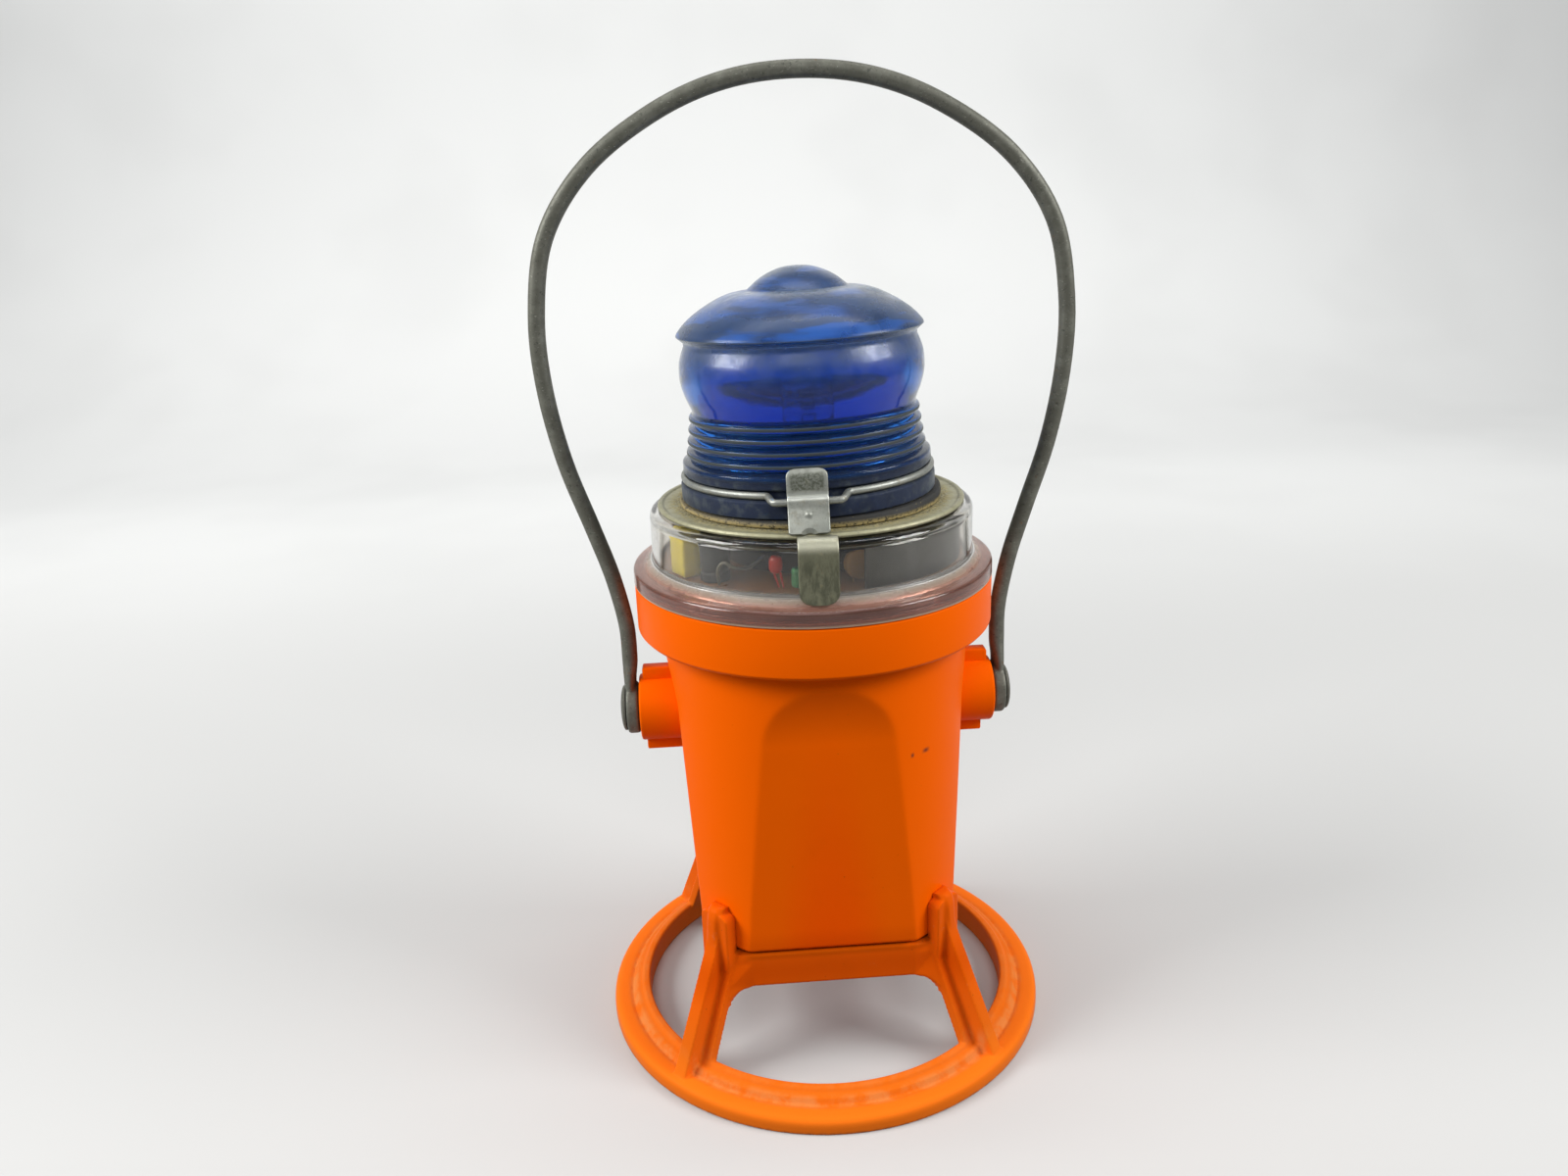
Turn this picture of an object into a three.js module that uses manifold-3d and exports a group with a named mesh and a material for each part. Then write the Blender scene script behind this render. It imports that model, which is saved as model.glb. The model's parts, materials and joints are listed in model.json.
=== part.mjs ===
// Portable battery signal lantern: an orange plastic case on a ring stand, with a
// wire bail, a clear head over the flasher board and a ribbed blue glass lens.
// Millimetres, +Z up, front of the lantern towards -Y, origin on the table under
// the middle of the stand's ring.

import * as THREE from 'three';
import { mergeVertices } from 'three/addons/utils/BufferGeometryUtils.js';
import Module from 'manifold-3d';

const wasm = await Module();
wasm.setup();

// ---------------------------------------------------------------- dimensions

const GAP = 0.3;                  // clearance between pieces that touch
const RAD = Math.PI / 180;

const RING_OUTER_R = 70.5;        // stand ring, an upside-down channel
const RING_INNER_R = 58.5;
const RING_WALL = 2;
const RING_LOW_TOP = 5;           // top of the outer band
const RING_HIGH_TOP = 8;          // top of the raised inner band
const LEG_RIB_THICK = 4.6;
const LEG_FLANGE_THICK = 3;
const LEG_FLANGE_HALF = 5.75;
const LEG_COUNT = 4;
const FRAME_BOTTOM = 28;          // square band that carries the case
const FRAME_TOP = 38.9;
const FRAME_HALF = 39;
const PRONG_TOP = 53.5;

const CASE_BOTTOM = 39.2;
const CASE_R = 46;                // round corners of the case
const CASE_WALL = 2.2;
const CASE_FLOOR = 2.4;
const FLAT_AT_BOTTOM = 38.6;      // distance of each flat from the axis
const FLAT_SLOPE = 0.051;
const ARCH_START = 107;           // where each flat starts to run out
const ARCH_TOP = 126;
const COLLAR_R = 53.2;
const COLLAR_BOTTOM = 131.5;
const COLLAR_TOP = 146;
const COLLAR_WALL = 2.4;
const SPIGOT_BOTTOM = 33;         // skirt of the case inside the stand's band

const PIVOT_Z = 104.3;            // bail pivots
const BOSS_R = 10.25;
const BOSS_END = 54.4;
const BOSS_RIB_REACH = 13.5;
const BOSS_RIB_END = 53.2;
const BOSS_RIB_WIDTH = 5;
const EYE_R = 8;
const EYE_X = 56.7;
const EYE_THICK = 3.8;
const BAIL_WIRE_R = 2.4;
const RIVET_R = 2.5;
const RIVET_HEAD_R = 7;

const BATTERY_HALF = 33.5;
const BATTERY_CORNER_R = 9.7;
const BATTERY_TOP = 141.2;
const SPRING_TOP = 149.7;
const CORNER_SPRING_XY = 20;

const COVER_R = 47.4;             // clear head
const COVER_INNER_R = 45.4;
const COVER_FLANGE_R = 53.3;
const COVER_FLANGE_BOTTOM = 147.6;
const COVER_LIP_BOTTOM = 146.3;   // lip of the flange outside the gasket
const COVER_LIP_INNER_R = 52.2;
const COVER_GASKET_R = 51.9;
const COVER_ROOF = 167.6;
const COVER_HOLE_R = 33.5;
const SKIRT_R = 49.3;             // part of the head that drops into the collar
const SKIRT_BOTTOM = 139;
const LUG_COUNT = 3;
const LUG_SPAN = 30 * RAD;
const TAB_SPAN = 38 * RAD;

const SEAT_TOP = 168.7;           // metal ring on the roof of the head
const SEAT_SHEET = 0.8;
const SEAT_R = 44.6;
const STRAP_HALF = 5.3;
const STRAP_SHEET = 0.9;
const STRAP_TURN = -2.5 * RAD;    // strap and latch stand a little left of the front

const LENS_BASE = 171.3;          // the lens sits and leans a little to the left
const LENS_TOP = 234.5;
const RIBS = [[34.6, 184.9], [34.1, 188.1], [33.6, 191.4], [33.2, 194.6]];   // [radius, height]
const LENS_SHIFT = -0.5;
const LENS_LEAN = -1.5 * RAD;
const LENS_TURN = -4.4 * RAD;
const WIRE_R = 1;                 // retaining wire round the foot of the lens
const WIRE_RING_R = 35.9;
const WIRE_Z = 177.5;
const HINGE_Y = 39.4;             // cranked front and rear of the wire
const HINGE_Z = 176.7;
const HOOK_WIDTH = 11;
const LATCH_HALF = 5.45;
const NOTCH_R = 3.2;              // shallow notch in the foot of the latch
const NOTCH_REACH = 47.7;
const LATCH_SHEET = 0.9;

const BOARD_R = 47.7;
const BOARD_BOTTOM = 151.2;
const BOARD_TOP = 152.7;
const ON_BOARD = BOARD_TOP + GAP;
const MODULE_R = 26;
const MODULE_TOP = 163.4;
const SOCKET_R = 9.3;
const LEG_WIRE_R = 0.35;
const LEAD_R = 0.45;

const ROUND = 32;                 // facets round the larger turned shapes
const FINE_ROUND = 18;

// ----------------------------------------------------------------- materials

const material = (color, roughness, metalness = 0, opacity = 1) =>
  new THREE.MeshStandardMaterial({ color, roughness, metalness, opacity, transparent: opacity < 1 });

const ORANGE = material(0xf26000, 0.45);
const STAND_ORANGE = material(0xf8741c, 0.5);
const CLEAR = material(0xe9e4da, 0.15, 0, 0.35);
const BLUE_GLASS = material(0x1a2f9c, 0.12, 0, 0.7);
const BULB_GLASS = material(0xe8ecf0, 0.08, 0, 0.4);
const ZINC = material(0x8f9288, 0.45, 0.8);
const DIRTY_ZINC = material(0x9a987c, 0.6, 0.7);
const WEATHERED_STEEL = material(0x5f635b, 0.55, 0.7);
const BRASS = material(0xb08a3e, 0.35, 0.9);
const BLACK_RUBBER = material(0x1b1b1b, 0.8);
const GREY_RUBBER = material(0xa39a86, 0.8);
const BLACK_PLASTIC = material(0x1f1f20, 0.5);
const BATTERY_WRAP = material(0x2b3b52, 0.5);
const BOARD_BROWN = material(0x8a5a22, 0.6);
const YELLOW = material(0xd8c23a, 0.5);
const RED = material(0xc23a1e, 0.4);
const GREEN = material(0x4f9a63, 0.5);
const TAN = material(0xa07a3a, 0.5);
const DARK_SHIELD = material(0x3a3a3c, 0.5);
const LEAD = material(0xcfc7a8, 0.5);

// --------------------------------------------------------------- shape tools

// Welds a geometry's corners and turns its faces outwards.
function closed(geometry, reach = 1e-4) {
  const bare = geometry.clone();
  bare.deleteAttribute('normal');
  bare.deleteAttribute('uv');
  const welded = mergeVertices(bare, reach);
  const corner = welded.index.array;
  const faces = [];
  for (let i = 0; i < corner.length; i += 3) {
    const [a, b, c] = [corner[i], corner[i + 1], corner[i + 2]];
    if (a !== b && b !== c && c !== a) faces.push([a, b, c]);
  }
  const point = (i) => new THREE.Vector3().fromBufferAttribute(welded.attributes.position, i);
  let volume = 0;
  for (const [a, b, c] of faces) volume += point(a).dot(point(b).cross(point(c)));
  const turned = volume < 0 ? faces.map(([a, b, c]) => [a, c, b]) : faces;
  welded.setIndex(turned.flat());
  return welded;
}

function solid(geometry) {
  const skin = closed(geometry);
  return new wasm.Manifold(new wasm.Mesh({
    numProp: 3,
    vertProperties: new Float32Array(skin.attributes.position.array),
    triVerts: new Uint32Array(skin.index.array),
  }));
}

function shapeOf(body) {
  const mesh = body.getMesh();
  const geometry = new THREE.BufferGeometry();
  geometry.setAttribute('position', new THREE.BufferAttribute(new Float32Array(mesh.vertProperties), 3));
  geometry.setIndex(new THREE.BufferAttribute(new Uint32Array(mesh.triVerts), 1));
  return closed(geometry, 2e-3);
}

const joined = (bodies) => bodies.reduce((whole, body) => whole.add(body));
const cut = (whole, bodies) => bodies.reduce((rest, body) => rest.subtract(body), whole);

// Turns a profile of [radius, height] points round the Z axis.
function turned(profile, facets = ROUND, start = 0) {
  const points = profile.map(([r, z]) => new THREE.Vector2(r, z));
  const geometry = new THREE.LatheGeometry(points, facets, start);
  return geometry.rotateX(Math.PI / 2);
}

// The same for a profile that leaves out the axis, as a closed ring.
const turnedRing = (profile, facets, start = 0) => turned([...profile, profile[0]], facets, start);

function outline(points) {
  return new THREE.Shape(points.map(([x, y]) => new THREE.Vector2(x, y)));
}

// A flat outline of [x, y] points given a thickness along Z, from z upwards.
function plate(points, z, thickness) {
  const geometry = new THREE.ExtrudeGeometry(outline(points), { depth: thickness, bevelEnabled: false });
  return geometry.translate(0, 0, z);
}

// A [reach, height] outline standing in the plane through +X and Z, centred on it.
function upright(points, thickness) {
  const geometry = plate(points, -thickness / 2, thickness);
  return geometry.rotateX(Math.PI / 2);
}

function tube(points, radius, sides, steps) {
  const path = new THREE.CatmullRomCurve3(points.map((p) => new THREE.Vector3(...p)));
  const section = outline(circle(0, 0, radius, sides));
  return new THREE.ExtrudeGeometry(section, { steps, bevelEnabled: false, extrudePath: path });
}

function circle(x, y, r, sides, from = 0, to = 2 * Math.PI) {
  const whole = Math.abs(to - from - 2 * Math.PI) < 1e-9;
  const count = whole ? sides : sides + 1;
  return Array.from({ length: count }, (_, i) => {
    const angle = from + (to - from) * i / sides;
    return [x + r * Math.cos(angle), y + r * Math.sin(angle)];
  });
}

function roundedSquare(half, corner, sides = 5) {
  const inset = half - corner;
  const points = [];
  for (const [sx, sy, start] of [[1, 1, 0], [-1, 1, 1], [-1, -1, 2], [1, -1, 3]]) {
    points.push(...circle(sx * inset, sy * inset, corner, sides, start * Math.PI / 2, (start + 1) * Math.PI / 2));
  }
  return points;
}

// A strip of sheet metal whose middle line is a list of [reach, height] points.
function strip(line, thickness, width) {
  const left = [];
  const right = [];
  line.forEach(([r, z], i) => {
    const [r0, z0] = line[Math.max(i - 1, 0)];
    const [r1, z1] = line[Math.min(i + 1, line.length - 1)];
    const run = Math.hypot(r1 - r0, z1 - z0);
    const [nr, nz] = [-(z1 - z0) / run * thickness / 2, (r1 - r0) / run * thickness / 2];
    left.push([r + nr, z + nz]);
    right.unshift([r - nr, z - nz]);
  });
  return upright([...left, ...right], width);
}

// Turns a shape drawn along +X to the front or the rear.
const turnToFront = (geometry, angle = 0) => geometry.rotateZ(-Math.PI / 2 + angle);
const turnToRear = (geometry) => geometry.rotateZ(Math.PI / 2);

function add(parent, name, geometry, finish) {
  const mesh = new THREE.Mesh(geometry, finish);
  mesh.name = name;
  parent.add(mesh);
  return mesh;
}

// --------------------------------------------------------------------- stand

function ringProfile() {
  const [out, low, high] = [RING_OUTER_R, RING_LOW_TOP, RING_HIGH_TOP];
  const inner = RING_INNER_R;
  return [
    [out, 0], [out, 2], [out - 1, 4.2], [out - 3.2, low], [63.4, low], [61.3, high - 0.8], [60.4, high],
    [inner + 0.7, high], [inner, high - 0.8], [inner, 0], [inner + RING_WALL, 0],
    [inner + RING_WALL, low], [out - 3.4, low - RING_WALL], [out - RING_WALL, 0],
  ];
}

// Half outline of the sloping flange: narrow below, with a concave fillet up to the band.
function flangeOutline(length) {
  const wide = 10;
  const fillet = wide - LEG_FLANGE_HALF;
  const start = length - 13;
  const half = [[LEG_FLANGE_HALF, 0], ...circle(wide, start, fillet, 3, Math.PI, Math.PI / 2)];
  half.push([wide, length]);
  const mirror = half.map(([x, y]) => [-x, y]).reverse();
  return [...half, ...mirror];
}

function leg() {
  const top = new THREE.Vector2(46.4, FRAME_TOP - 2);
  const foot = new THREE.Vector2(60.4, 4);
  const length = top.distanceTo(foot);
  const slope = Math.atan2(top.y - foot.y, foot.x - top.x);
  const flange = plate(flangeOutline(length), -LEG_FLANGE_THICK / 2, LEG_FLANGE_THICK);
  flange.rotateZ(Math.PI / 2).rotateY(slope).translate(foot.x, 0, foot.y);
  const rib = upright([[44.8, FRAME_BOTTOM + 3], [44.8, FRAME_TOP + 1], [52.3, FRAME_TOP + 1], [68.6, 4],
    [67.6, 3.3], [61, 3.3]], LEG_RIB_THICK);
  return [solid(flange), solid(rib)];
}

// Upright prong that hugs a round corner of the case, with a rib up its middle.
function prong() {
  const shoulder = PRONG_TOP - 2.2;
  const face = [...circle(-3.1, shoulder - 2, 2.2, 3, Math.PI, Math.PI / 2),
    ...circle(3.1, shoulder - 2, 2.2, 3, Math.PI / 2, 0)];
  const pad = plate([[5.3, 33], ...face.reverse(), [-5.3, 33]], 0, 5);
  pad.rotateX(Math.PI / 2).rotateZ(Math.PI / 2).translate(44.6, 0, 0);
  const rib = upright([[45, FRAME_TOP - 4], [45, PRONG_TOP], [48.6, PRONG_TOP], [50.9, PRONG_TOP - 3.4],
    [52.4, FRAME_TOP - 4]], 3.4);
  return solid(pad).add(solid(rib));
}

function squaredCylinder(r, flat, z, height) {
  const round = solid(turned([[0, z], [r, z], [r, z + height], [0, z + height]]));
  const square = solid(plate([[flat, flat], [-flat, flat], [-flat, -flat], [flat, -flat]], z - 1, height + 2));
  return round.intersect(square);
}

function stand() {
  const band = squaredCylinder(CASE_R, FRAME_HALF, FRAME_BOTTOM, FRAME_TOP + 1 - FRAME_BOTTOM);
  const parts = [solid(turnedRing(ringProfile(), 40, 2 * RAD)), band];
  for (let i = 0; i < LEG_COUNT; i += 1) {
    const angle = 45 + i * 360 / LEG_COUNT;
    for (const piece of [...leg(), prong()]) parts.push(piece.rotate([0, 0, angle]));
  }
  const pocketHalf = FLAT_AT_BOTTOM - 1.4;
  return cut(joined(parts), [
    squaredCylinder(CASE_R - 1.6, pocketHalf, FRAME_BOTTOM + 2.5, 10),
    squaredCylinder(CASE_R - 8, pocketHalf - 6, FRAME_BOTTOM - 1, 8),
    squaredCylinder(CASE_R + GAP, FRAME_HALF + 2, FRAME_TOP, 40),
  ]);
}

// ---------------------------------------------------------------------- case

// Distance of a flat from the axis: a slight outward slope, then a concave run-out
// that meets the round of the case in an arch.
function flatDistance(z) {
  if (z <= ARCH_START) return FLAT_AT_BOTTOM + FLAT_SLOPE * (z - CASE_BOTTOM);
  const start = flatDistance(ARCH_START);
  const halfWidth = Math.sqrt(CASE_R ** 2 - start ** 2);
  const rise = Math.min((z - ARCH_START) / (ARCH_TOP - ARCH_START), 1);
  return Math.sqrt(CASE_R ** 2 - halfWidth ** 2 * (1 - rise ** 2));
}

function flatCutter(inset) {
  const heights = [30, ARCH_START, 113, 118.5, 122.5, ARCH_TOP, ARCH_TOP + 8];
  const face = heights.map((z) => [flatDistance(z) - inset, z]);
  const past = CASE_R + 20;
  return solid(upright([...face, [past, ARCH_TOP + 8], [past, 30]], 2 * CASE_R));
}

function taperedBody(r, inset, bottom, top) {
  let body = solid(turned([[0, bottom], [r, bottom], [r, top], [0, top]]));
  const cutter = flatCutter(inset);
  for (let i = 0; i < 4; i += 1) body = body.subtract(cutter.rotate([0, 0, 90 * i]));
  return body;
}

function sector(r0, r1, z0, z1, middle, span, facets = 8) {
  const from = middle - span / 2;
  const to = middle + span / 2;
  const outer = circle(0, 0, r1, facets, from, to);
  const inner = circle(0, 0, r0, facets, from, to).reverse();
  return plate([...outer, ...inner], z0, z1 - z0);
}

function boss(side) {
  const from = 36;
  const barrel = plate(circle(0, 0, BOSS_R, 24), from, BOSS_END - from);
  barrel.rotateY(Math.PI / 2);
  const ribs = [1, -1].map((up) => {
    const end = BOSS_RIB_END - (up < 0 && side > 0 ? 1.4 : 0);
    const shape = new THREE.BoxGeometry(end - from, BOSS_RIB_WIDTH, 5);
    return shape.translate((from + end) / 2, 0, up * (BOSS_RIB_REACH - 2.5));
  });
  const whole = joined([barrel, ...ribs].map(solid));
  return whole.rotate([0, 0, side > 0 ? 0 : 180]).translate([0, 0, PIVOT_Z]);
}

function alongX(r, x0, x1, z = PIVOT_Z, sides = FINE_ROUND) {
  return solid(plate(circle(0, 0, r, sides), x0, x1 - x0).rotateY(Math.PI / 2).translate(0, 0, z));
}

function caseShell() {
  const outer = taperedBody(CASE_R, 0, CASE_BOTTOM, COLLAR_BOTTOM + 3);
  const collar = solid(turned([[0, COLLAR_BOTTOM], [COLLAR_R - 1, COLLAR_BOTTOM], [COLLAR_R, COLLAR_BOTTOM + 1],
    [COLLAR_R, COLLAR_TOP], [0, COLLAR_TOP]], 40));
  const spigot = squaredCylinder(CASE_R - 1.9, FLAT_AT_BOTTOM - 1.7, SPIGOT_BOTTOM, 7);
  const well = COLLAR_R - COLLAR_WALL;
  const hollow = taperedBody(CASE_R - CASE_WALL, CASE_WALL, CASE_BOTTOM + CASE_FLOOR, COLLAR_TOP);
  const collarHollow = solid(turned([[0, 134.5], [well, 134.5], [well, COLLAR_TOP + 1], [0, COLLAR_TOP + 1]], 40));
  const under = squaredCylinder(CASE_R - 3.9, FLAT_AT_BOTTOM - 3.7, SPIGOT_BOTTOM - 1, 7.2);
  const whole = cut(joined([outer, collar, spigot, boss(1), boss(-1)]), [hollow, collarHollow, under,
    alongX(RIVET_R + GAP, -60, 60)]);
  const tabs = [];
  for (let i = 0; i < LUG_COUNT; i += 1) {
    tabs.push(solid(sector(SKIRT_R + 0.45, well + 0.5, 143, 145.4, tabAngle(i), TAB_SPAN)));
  }
  return joined([whole, ...tabs]);
}

const tabAngle = (i) => Math.PI / 2 + i * 2 * Math.PI / LUG_COUNT;

// ---------------------------------------------------------------------- bail

// Half of the bail from the eye to the crown: [distance from the middle, height
// above the pivots].
const BAIL_HALF = [
  [57.1, 4], [57.1, 10], [56.7, 17], [57, 28], [59.9, 43], [64.4, 58], [70.6, 78], [74.3, 99], [74.6, 119],
  [70.2, 140], [57.6, 157.5], [38.8, 170.5], [19.8, 177.8],
];

function bail() {
  const right = BAIL_HALF.map(([x, h]) => [x, 0, PIVOT_Z + h]);
  const left = BAIL_HALF.map(([x, h]) => [-x, 0, PIVOT_Z + h]).reverse();
  const parts = [solid(tube([...right, [0, 0, PIVOT_Z + 180], ...left], BAIL_WIRE_R, 8, 40))];
  const half = EYE_THICK / 2;
  const flats = [];
  for (const side of [1, -1]) {
    parts.push(alongX(EYE_R, side * EYE_X - half, side * EYE_X + half));
    const faces = [side * (EYE_X + half), side * (EYE_X + half + 5)].sort((a, b) => a - b);
    flats.push(alongX(RIVET_HEAD_R + 0.5, ...faces));
  }
  return cut(joined(parts), [...flats, alongX(BOSS_R + GAP, half - EYE_X, EYE_X - half),
    alongX(RIVET_R + GAP, -70, 70)]);
}

// Solid rivet through the eye and the boss, clinched over a burr inside the case.
function rivet(side) {
  const head = EYE_X + EYE_THICK / 2 + GAP;
  const profile = [
    [0, 36.9], [4.4, 36.9], [4.4, 37.9], [RIVET_R, 38.1], [RIVET_R, head], [RIVET_HEAD_R, head],
    [RIVET_HEAD_R, head + 0.7], [RIVET_HEAD_R - 1.2, head + 1.4], [0, head + 1.7],
  ];
  return turned(profile, 16).rotateY(side * Math.PI / 2).translate(0, 0, PIVOT_Z);
}

function burr(side) {
  const profile = [[RIVET_R + GAP, 38.3], [6, 38.3], [6, 39.1], [RIVET_R + GAP, 39.1]];
  return turnedRing(profile, 16).rotateY(side * Math.PI / 2).translate(0, 0, PIVOT_Z);
}

// ------------------------------------------------------------------- battery

function battery() {
  const height = BATTERY_TOP - CASE_BOTTOM - CASE_FLOOR - GAP;
  const bevel = 1.2;
  const shape = outline(roundedSquare(BATTERY_HALF - bevel, BATTERY_CORNER_R - bevel));
  const geometry = new THREE.ExtrudeGeometry(shape, {
    depth: height - 2 * bevel, bevelThickness: bevel, bevelSize: bevel, bevelSegments: 1,
  });
  return geometry.translate(0, 0, CASE_BOTTOM + CASE_FLOOR + GAP + bevel);
}

// Cone spring of three turns standing on the battery.
function terminalSpring(x, y) {
  const turns = 3;
  const wire = 0.6;
  const rise = SPRING_TOP - BATTERY_TOP - GAP - 2 * wire;
  const points = [];
  for (let i = 0; i <= turns * 8; i += 1) {
    const t = i / (turns * 8);
    const r = 6.2 - 2.6 * t;
    const angle = 2 * Math.PI * turns * t;
    points.push([x + r * Math.cos(angle), y + r * Math.sin(angle), BATTERY_TOP + GAP + wire + rise * t]);
  }
  return tube(points, wire, 4, turns * 8);
}

// ---------------------------------------------------------------- clear head

function clearCover() {
  const [out, flange, bottom, roof] = [COVER_R, COVER_FLANGE_R, COVER_FLANGE_BOTTOM, COVER_ROOF];
  const shell = turnedRing([
    [SKIRT_R, SKIRT_BOTTOM], [SKIRT_R, bottom], [COVER_LIP_INNER_R, bottom], [COVER_LIP_INNER_R, COVER_LIP_BOTTOM],
    [flange, COVER_LIP_BOTTOM], [flange, 150.1], [flange - 0.8, 150.9],
    [50.7, 151.1], [49.6, 152.1], [out, 153.1], [out, roof - 2.6], [out - 0.8, roof - 0.8],
    [out - 2.6, roof], [COVER_HOLE_R, roof], [COVER_HOLE_R, roof - 2], [44, roof - 2],
    [COVER_INNER_R, roof - 3.4], [COVER_INNER_R, ON_BOARD], [48.1, ON_BOARD], [48.1, SKIRT_BOTTOM],
  ], 32);
  const lugs = [];
  for (let i = 0; i < LUG_COUNT; i += 1) {
    lugs.push(solid(sector(SKIRT_R - 0.5, 50.4, SKIRT_BOTTOM, 142.6, tabAngle(i), LUG_SPAN)));
  }
  return joined([solid(shell), ...lugs]);
}

function coverGasket() {
  const [inner, outer] = [COLLAR_R - COLLAR_WALL + 0.15, COVER_GASKET_R];
  const [bottom, top] = [COLLAR_TOP + GAP / 2, COVER_FLANGE_BOTTOM - GAP / 2];
  return turnedRing([[inner, bottom], [outer, bottom], [outer, top], [inner, top]], ROUND);
}

// Pressed seat with a rolled rim, a strap over the front of the head and a curled
// hook at the rear that holds the lens wire.
function seatRing() {
  const [top, sheet] = [SEAT_TOP, SEAT_SHEET];
  const ring = solid(turnedRing([
    [32.4, 164.4], [33.2, 164.4], [33.2, top - sheet], [SEAT_R, top - sheet], [SEAT_R, top + 0.1],
    [SEAT_R - 0.4, top + 0.4], [SEAT_R - 1, top + 0.4], [SEAT_R - 1.6, top], [33.6, top], [32.4, top - 1],
  ], 32));
  const over = [[43.8, top - 0.4], [45.2, top - 0.3], [46.6, 168], [47.6, 167.1], [48.3, 165.6], [48.7, 163.4],
    [49.3, 159], [51, 151.9]];
  const strap = solid(turnToFront(strip(over, STRAP_SHEET, 2 * STRAP_HALF), STRAP_TURN));
  const hookSheet = 0.7;
  const curl = circle(0, 0, WIRE_R + GAP + hookSheet / 2, 10, -35 * RAD, 170 * RAD);
  const rise = [[43.2, top - 0.3], [42.6, 171.4]];
  const hook = solid(turnToRear(strip([...rise, ...curl.map(([r, z]) => [HINGE_Y + r, HINGE_Z + z])],
    hookSheet, HOOK_WIDTH)));
  return joined([ring, strap, hook.transform(lensTurn().elements)]);
}

// Shift, turn and lean of the lens about the middle of its foot.
function lensTurn() {
  const foot = new THREE.Matrix4().makeTranslation(LENS_SHIFT, 0, LENS_BASE);
  const back = new THREE.Matrix4().makeTranslation(0, 0, -LENS_BASE);
  const turn = new THREE.Matrix4().makeRotationZ(LENS_TURN);
  const lean = new THREE.Matrix4().makeRotationY(LENS_LEAN);
  return foot.multiply(turn).multiply(lean).multiply(back);
}

// Rubber ring squeezed into a wedge under the leaning lens.
function lensGasket() {
  const bottom = SEAT_TOP + GAP;
  const ring = solid(turnedRing([[34, bottom], [38.2, bottom], [38.2, bottom + 6], [34, bottom + 6]], ROUND));
  const above = new THREE.BoxGeometry(100, 100, 20).translate(0, 0, LENS_BASE - GAP + 10);
  return ring.subtract(solid(above).transform(lensTurn().elements));
}

// -------------------------------------------------------------- lens and wire

// Outside of the lens from the foot up, then the inside back down.
function lensProfile() {
  const outside = [[37, LENS_BASE], [37, 176], [34.5, 176.3],
    [34.5, 178.6], [36, 178.8], [36, 181.5]];
  for (const [r, z] of RIBS) outside.push([r - 1.1, z - 1.6], [r, z - 0.7], [r, z + 0.2]);
  outside.push([32.1, 196.6], [33.6, 200], [34.9, 206], [34.4, 211], [33.2, 214.8],
    [34.8, 217], [34.9, 217.9], [32.8, 220.2], [29.5, 222.9], [24.4, 225.9], [19.5, 227.8], [14.3, 228.5]);
  const knob = [[13.2, 229.4], [10.8, 231.3], [7.4, 233.1], [3.8, 234.2]];
  const inside = [[12, 224.4], [23, 220.6], [31.5, 209.5], [29.2, 196], [31.6, 176], [33.6, LENS_BASE]];
  return [[0, LENS_TOP], ...[...outside, ...knob].reverse(), ...inside.reverse(), [0, 225.4]];
}

// Wire round the lens, open behind the rear hook, cranked outwards at front and rear.
function retainingWire() {
  const points = [];
  const crank = (angle) => {
    const fromCrank = Math.min(angle, Math.PI - angle);
    const onCrank = Math.max(0, Math.min(1, (18 * RAD - fromCrank) / (6 * RAD)));
    const depth = onCrank > 0.99 ? HINGE_Y / Math.cos(fromCrank) : WIRE_RING_R + onCrank * (HINGE_Y - WIRE_RING_R);
    return [depth, WIRE_Z + onCrank * (HINGE_Z - WIRE_Z)];
  };
  const side = [0.6, 4, 8, 12, 15, 18, 24, 36, 50, 65, 80, 100, 115, 130, 144, 156, 162, 165, 168, 172, 176, 180];
  const whole = [...side, ...side.slice(0, -1).reverse().map((angle) => 360 - angle)];
  for (const degrees of whole) {
    const angle = degrees * RAD;
    const [r, z] = crank(degrees > 180 ? 2 * Math.PI - angle : angle);
    points.push([r * Math.sin(angle), r * Math.cos(angle), z]);
  }
  return tube(points, WIRE_R, 6, 64);
}

// Spring latch: finger tab, bulge round the wire and a leg that bears on the rim.
function latch() {
  const bulge = circle(HINGE_Y, HINGE_Z, WIRE_R + GAP + LATCH_SHEET / 2, 5, 70 * RAD, 5 * RAD);
  const line = [[38.8, 185.3], [39.5, 183.6], [39.9, 181.6], [39.9, 180.2], [39.8, 179.2], ...bulge, [41.7, 175],
    [43.2, 172], [45.1, 169.5]];
  const body = solid(strip(line, LATCH_SHEET, 2 * LATCH_HALF));
  const notch = solid(plate(circle(NOTCH_REACH, 0, NOTCH_R, 14), 165, 6));
  return turnToFront(shapeOf(cut(body, [notch])));
}

// --------------------------------------------------------------- electronics

function board() {
  return plate(circle(0, 0, BOARD_R, ROUND), BOARD_BOTTOM, BOARD_TOP - BOARD_BOTTOM);
}

function boardRing() {
  return turnedRing([[44.5, 148.8], [47.7, 148.8], [47.7, BOARD_BOTTOM - GAP], [44.5, BOARD_BOTTOM - GAP]], ROUND);
}

function flasherModule() {
  const well = SOCKET_R + GAP;
  return turnedRing([[well, ON_BOARD], [MODULE_R, ON_BOARD], [MODULE_R, MODULE_TOP - 1], [MODULE_R - 1, MODULE_TOP],
    [well, MODULE_TOP]], 36);
}

function lampSocket() {
  return turned([[0, ON_BOARD], [SOCKET_R, ON_BOARD], [SOCKET_R, 165.5], [7.4, 166.5], [7.4, 184], [8.2, 184.4],
    [8.2, 186.6], [5.6, 186.6], [5.6, 176], [0, 176]], 18);
}

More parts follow.
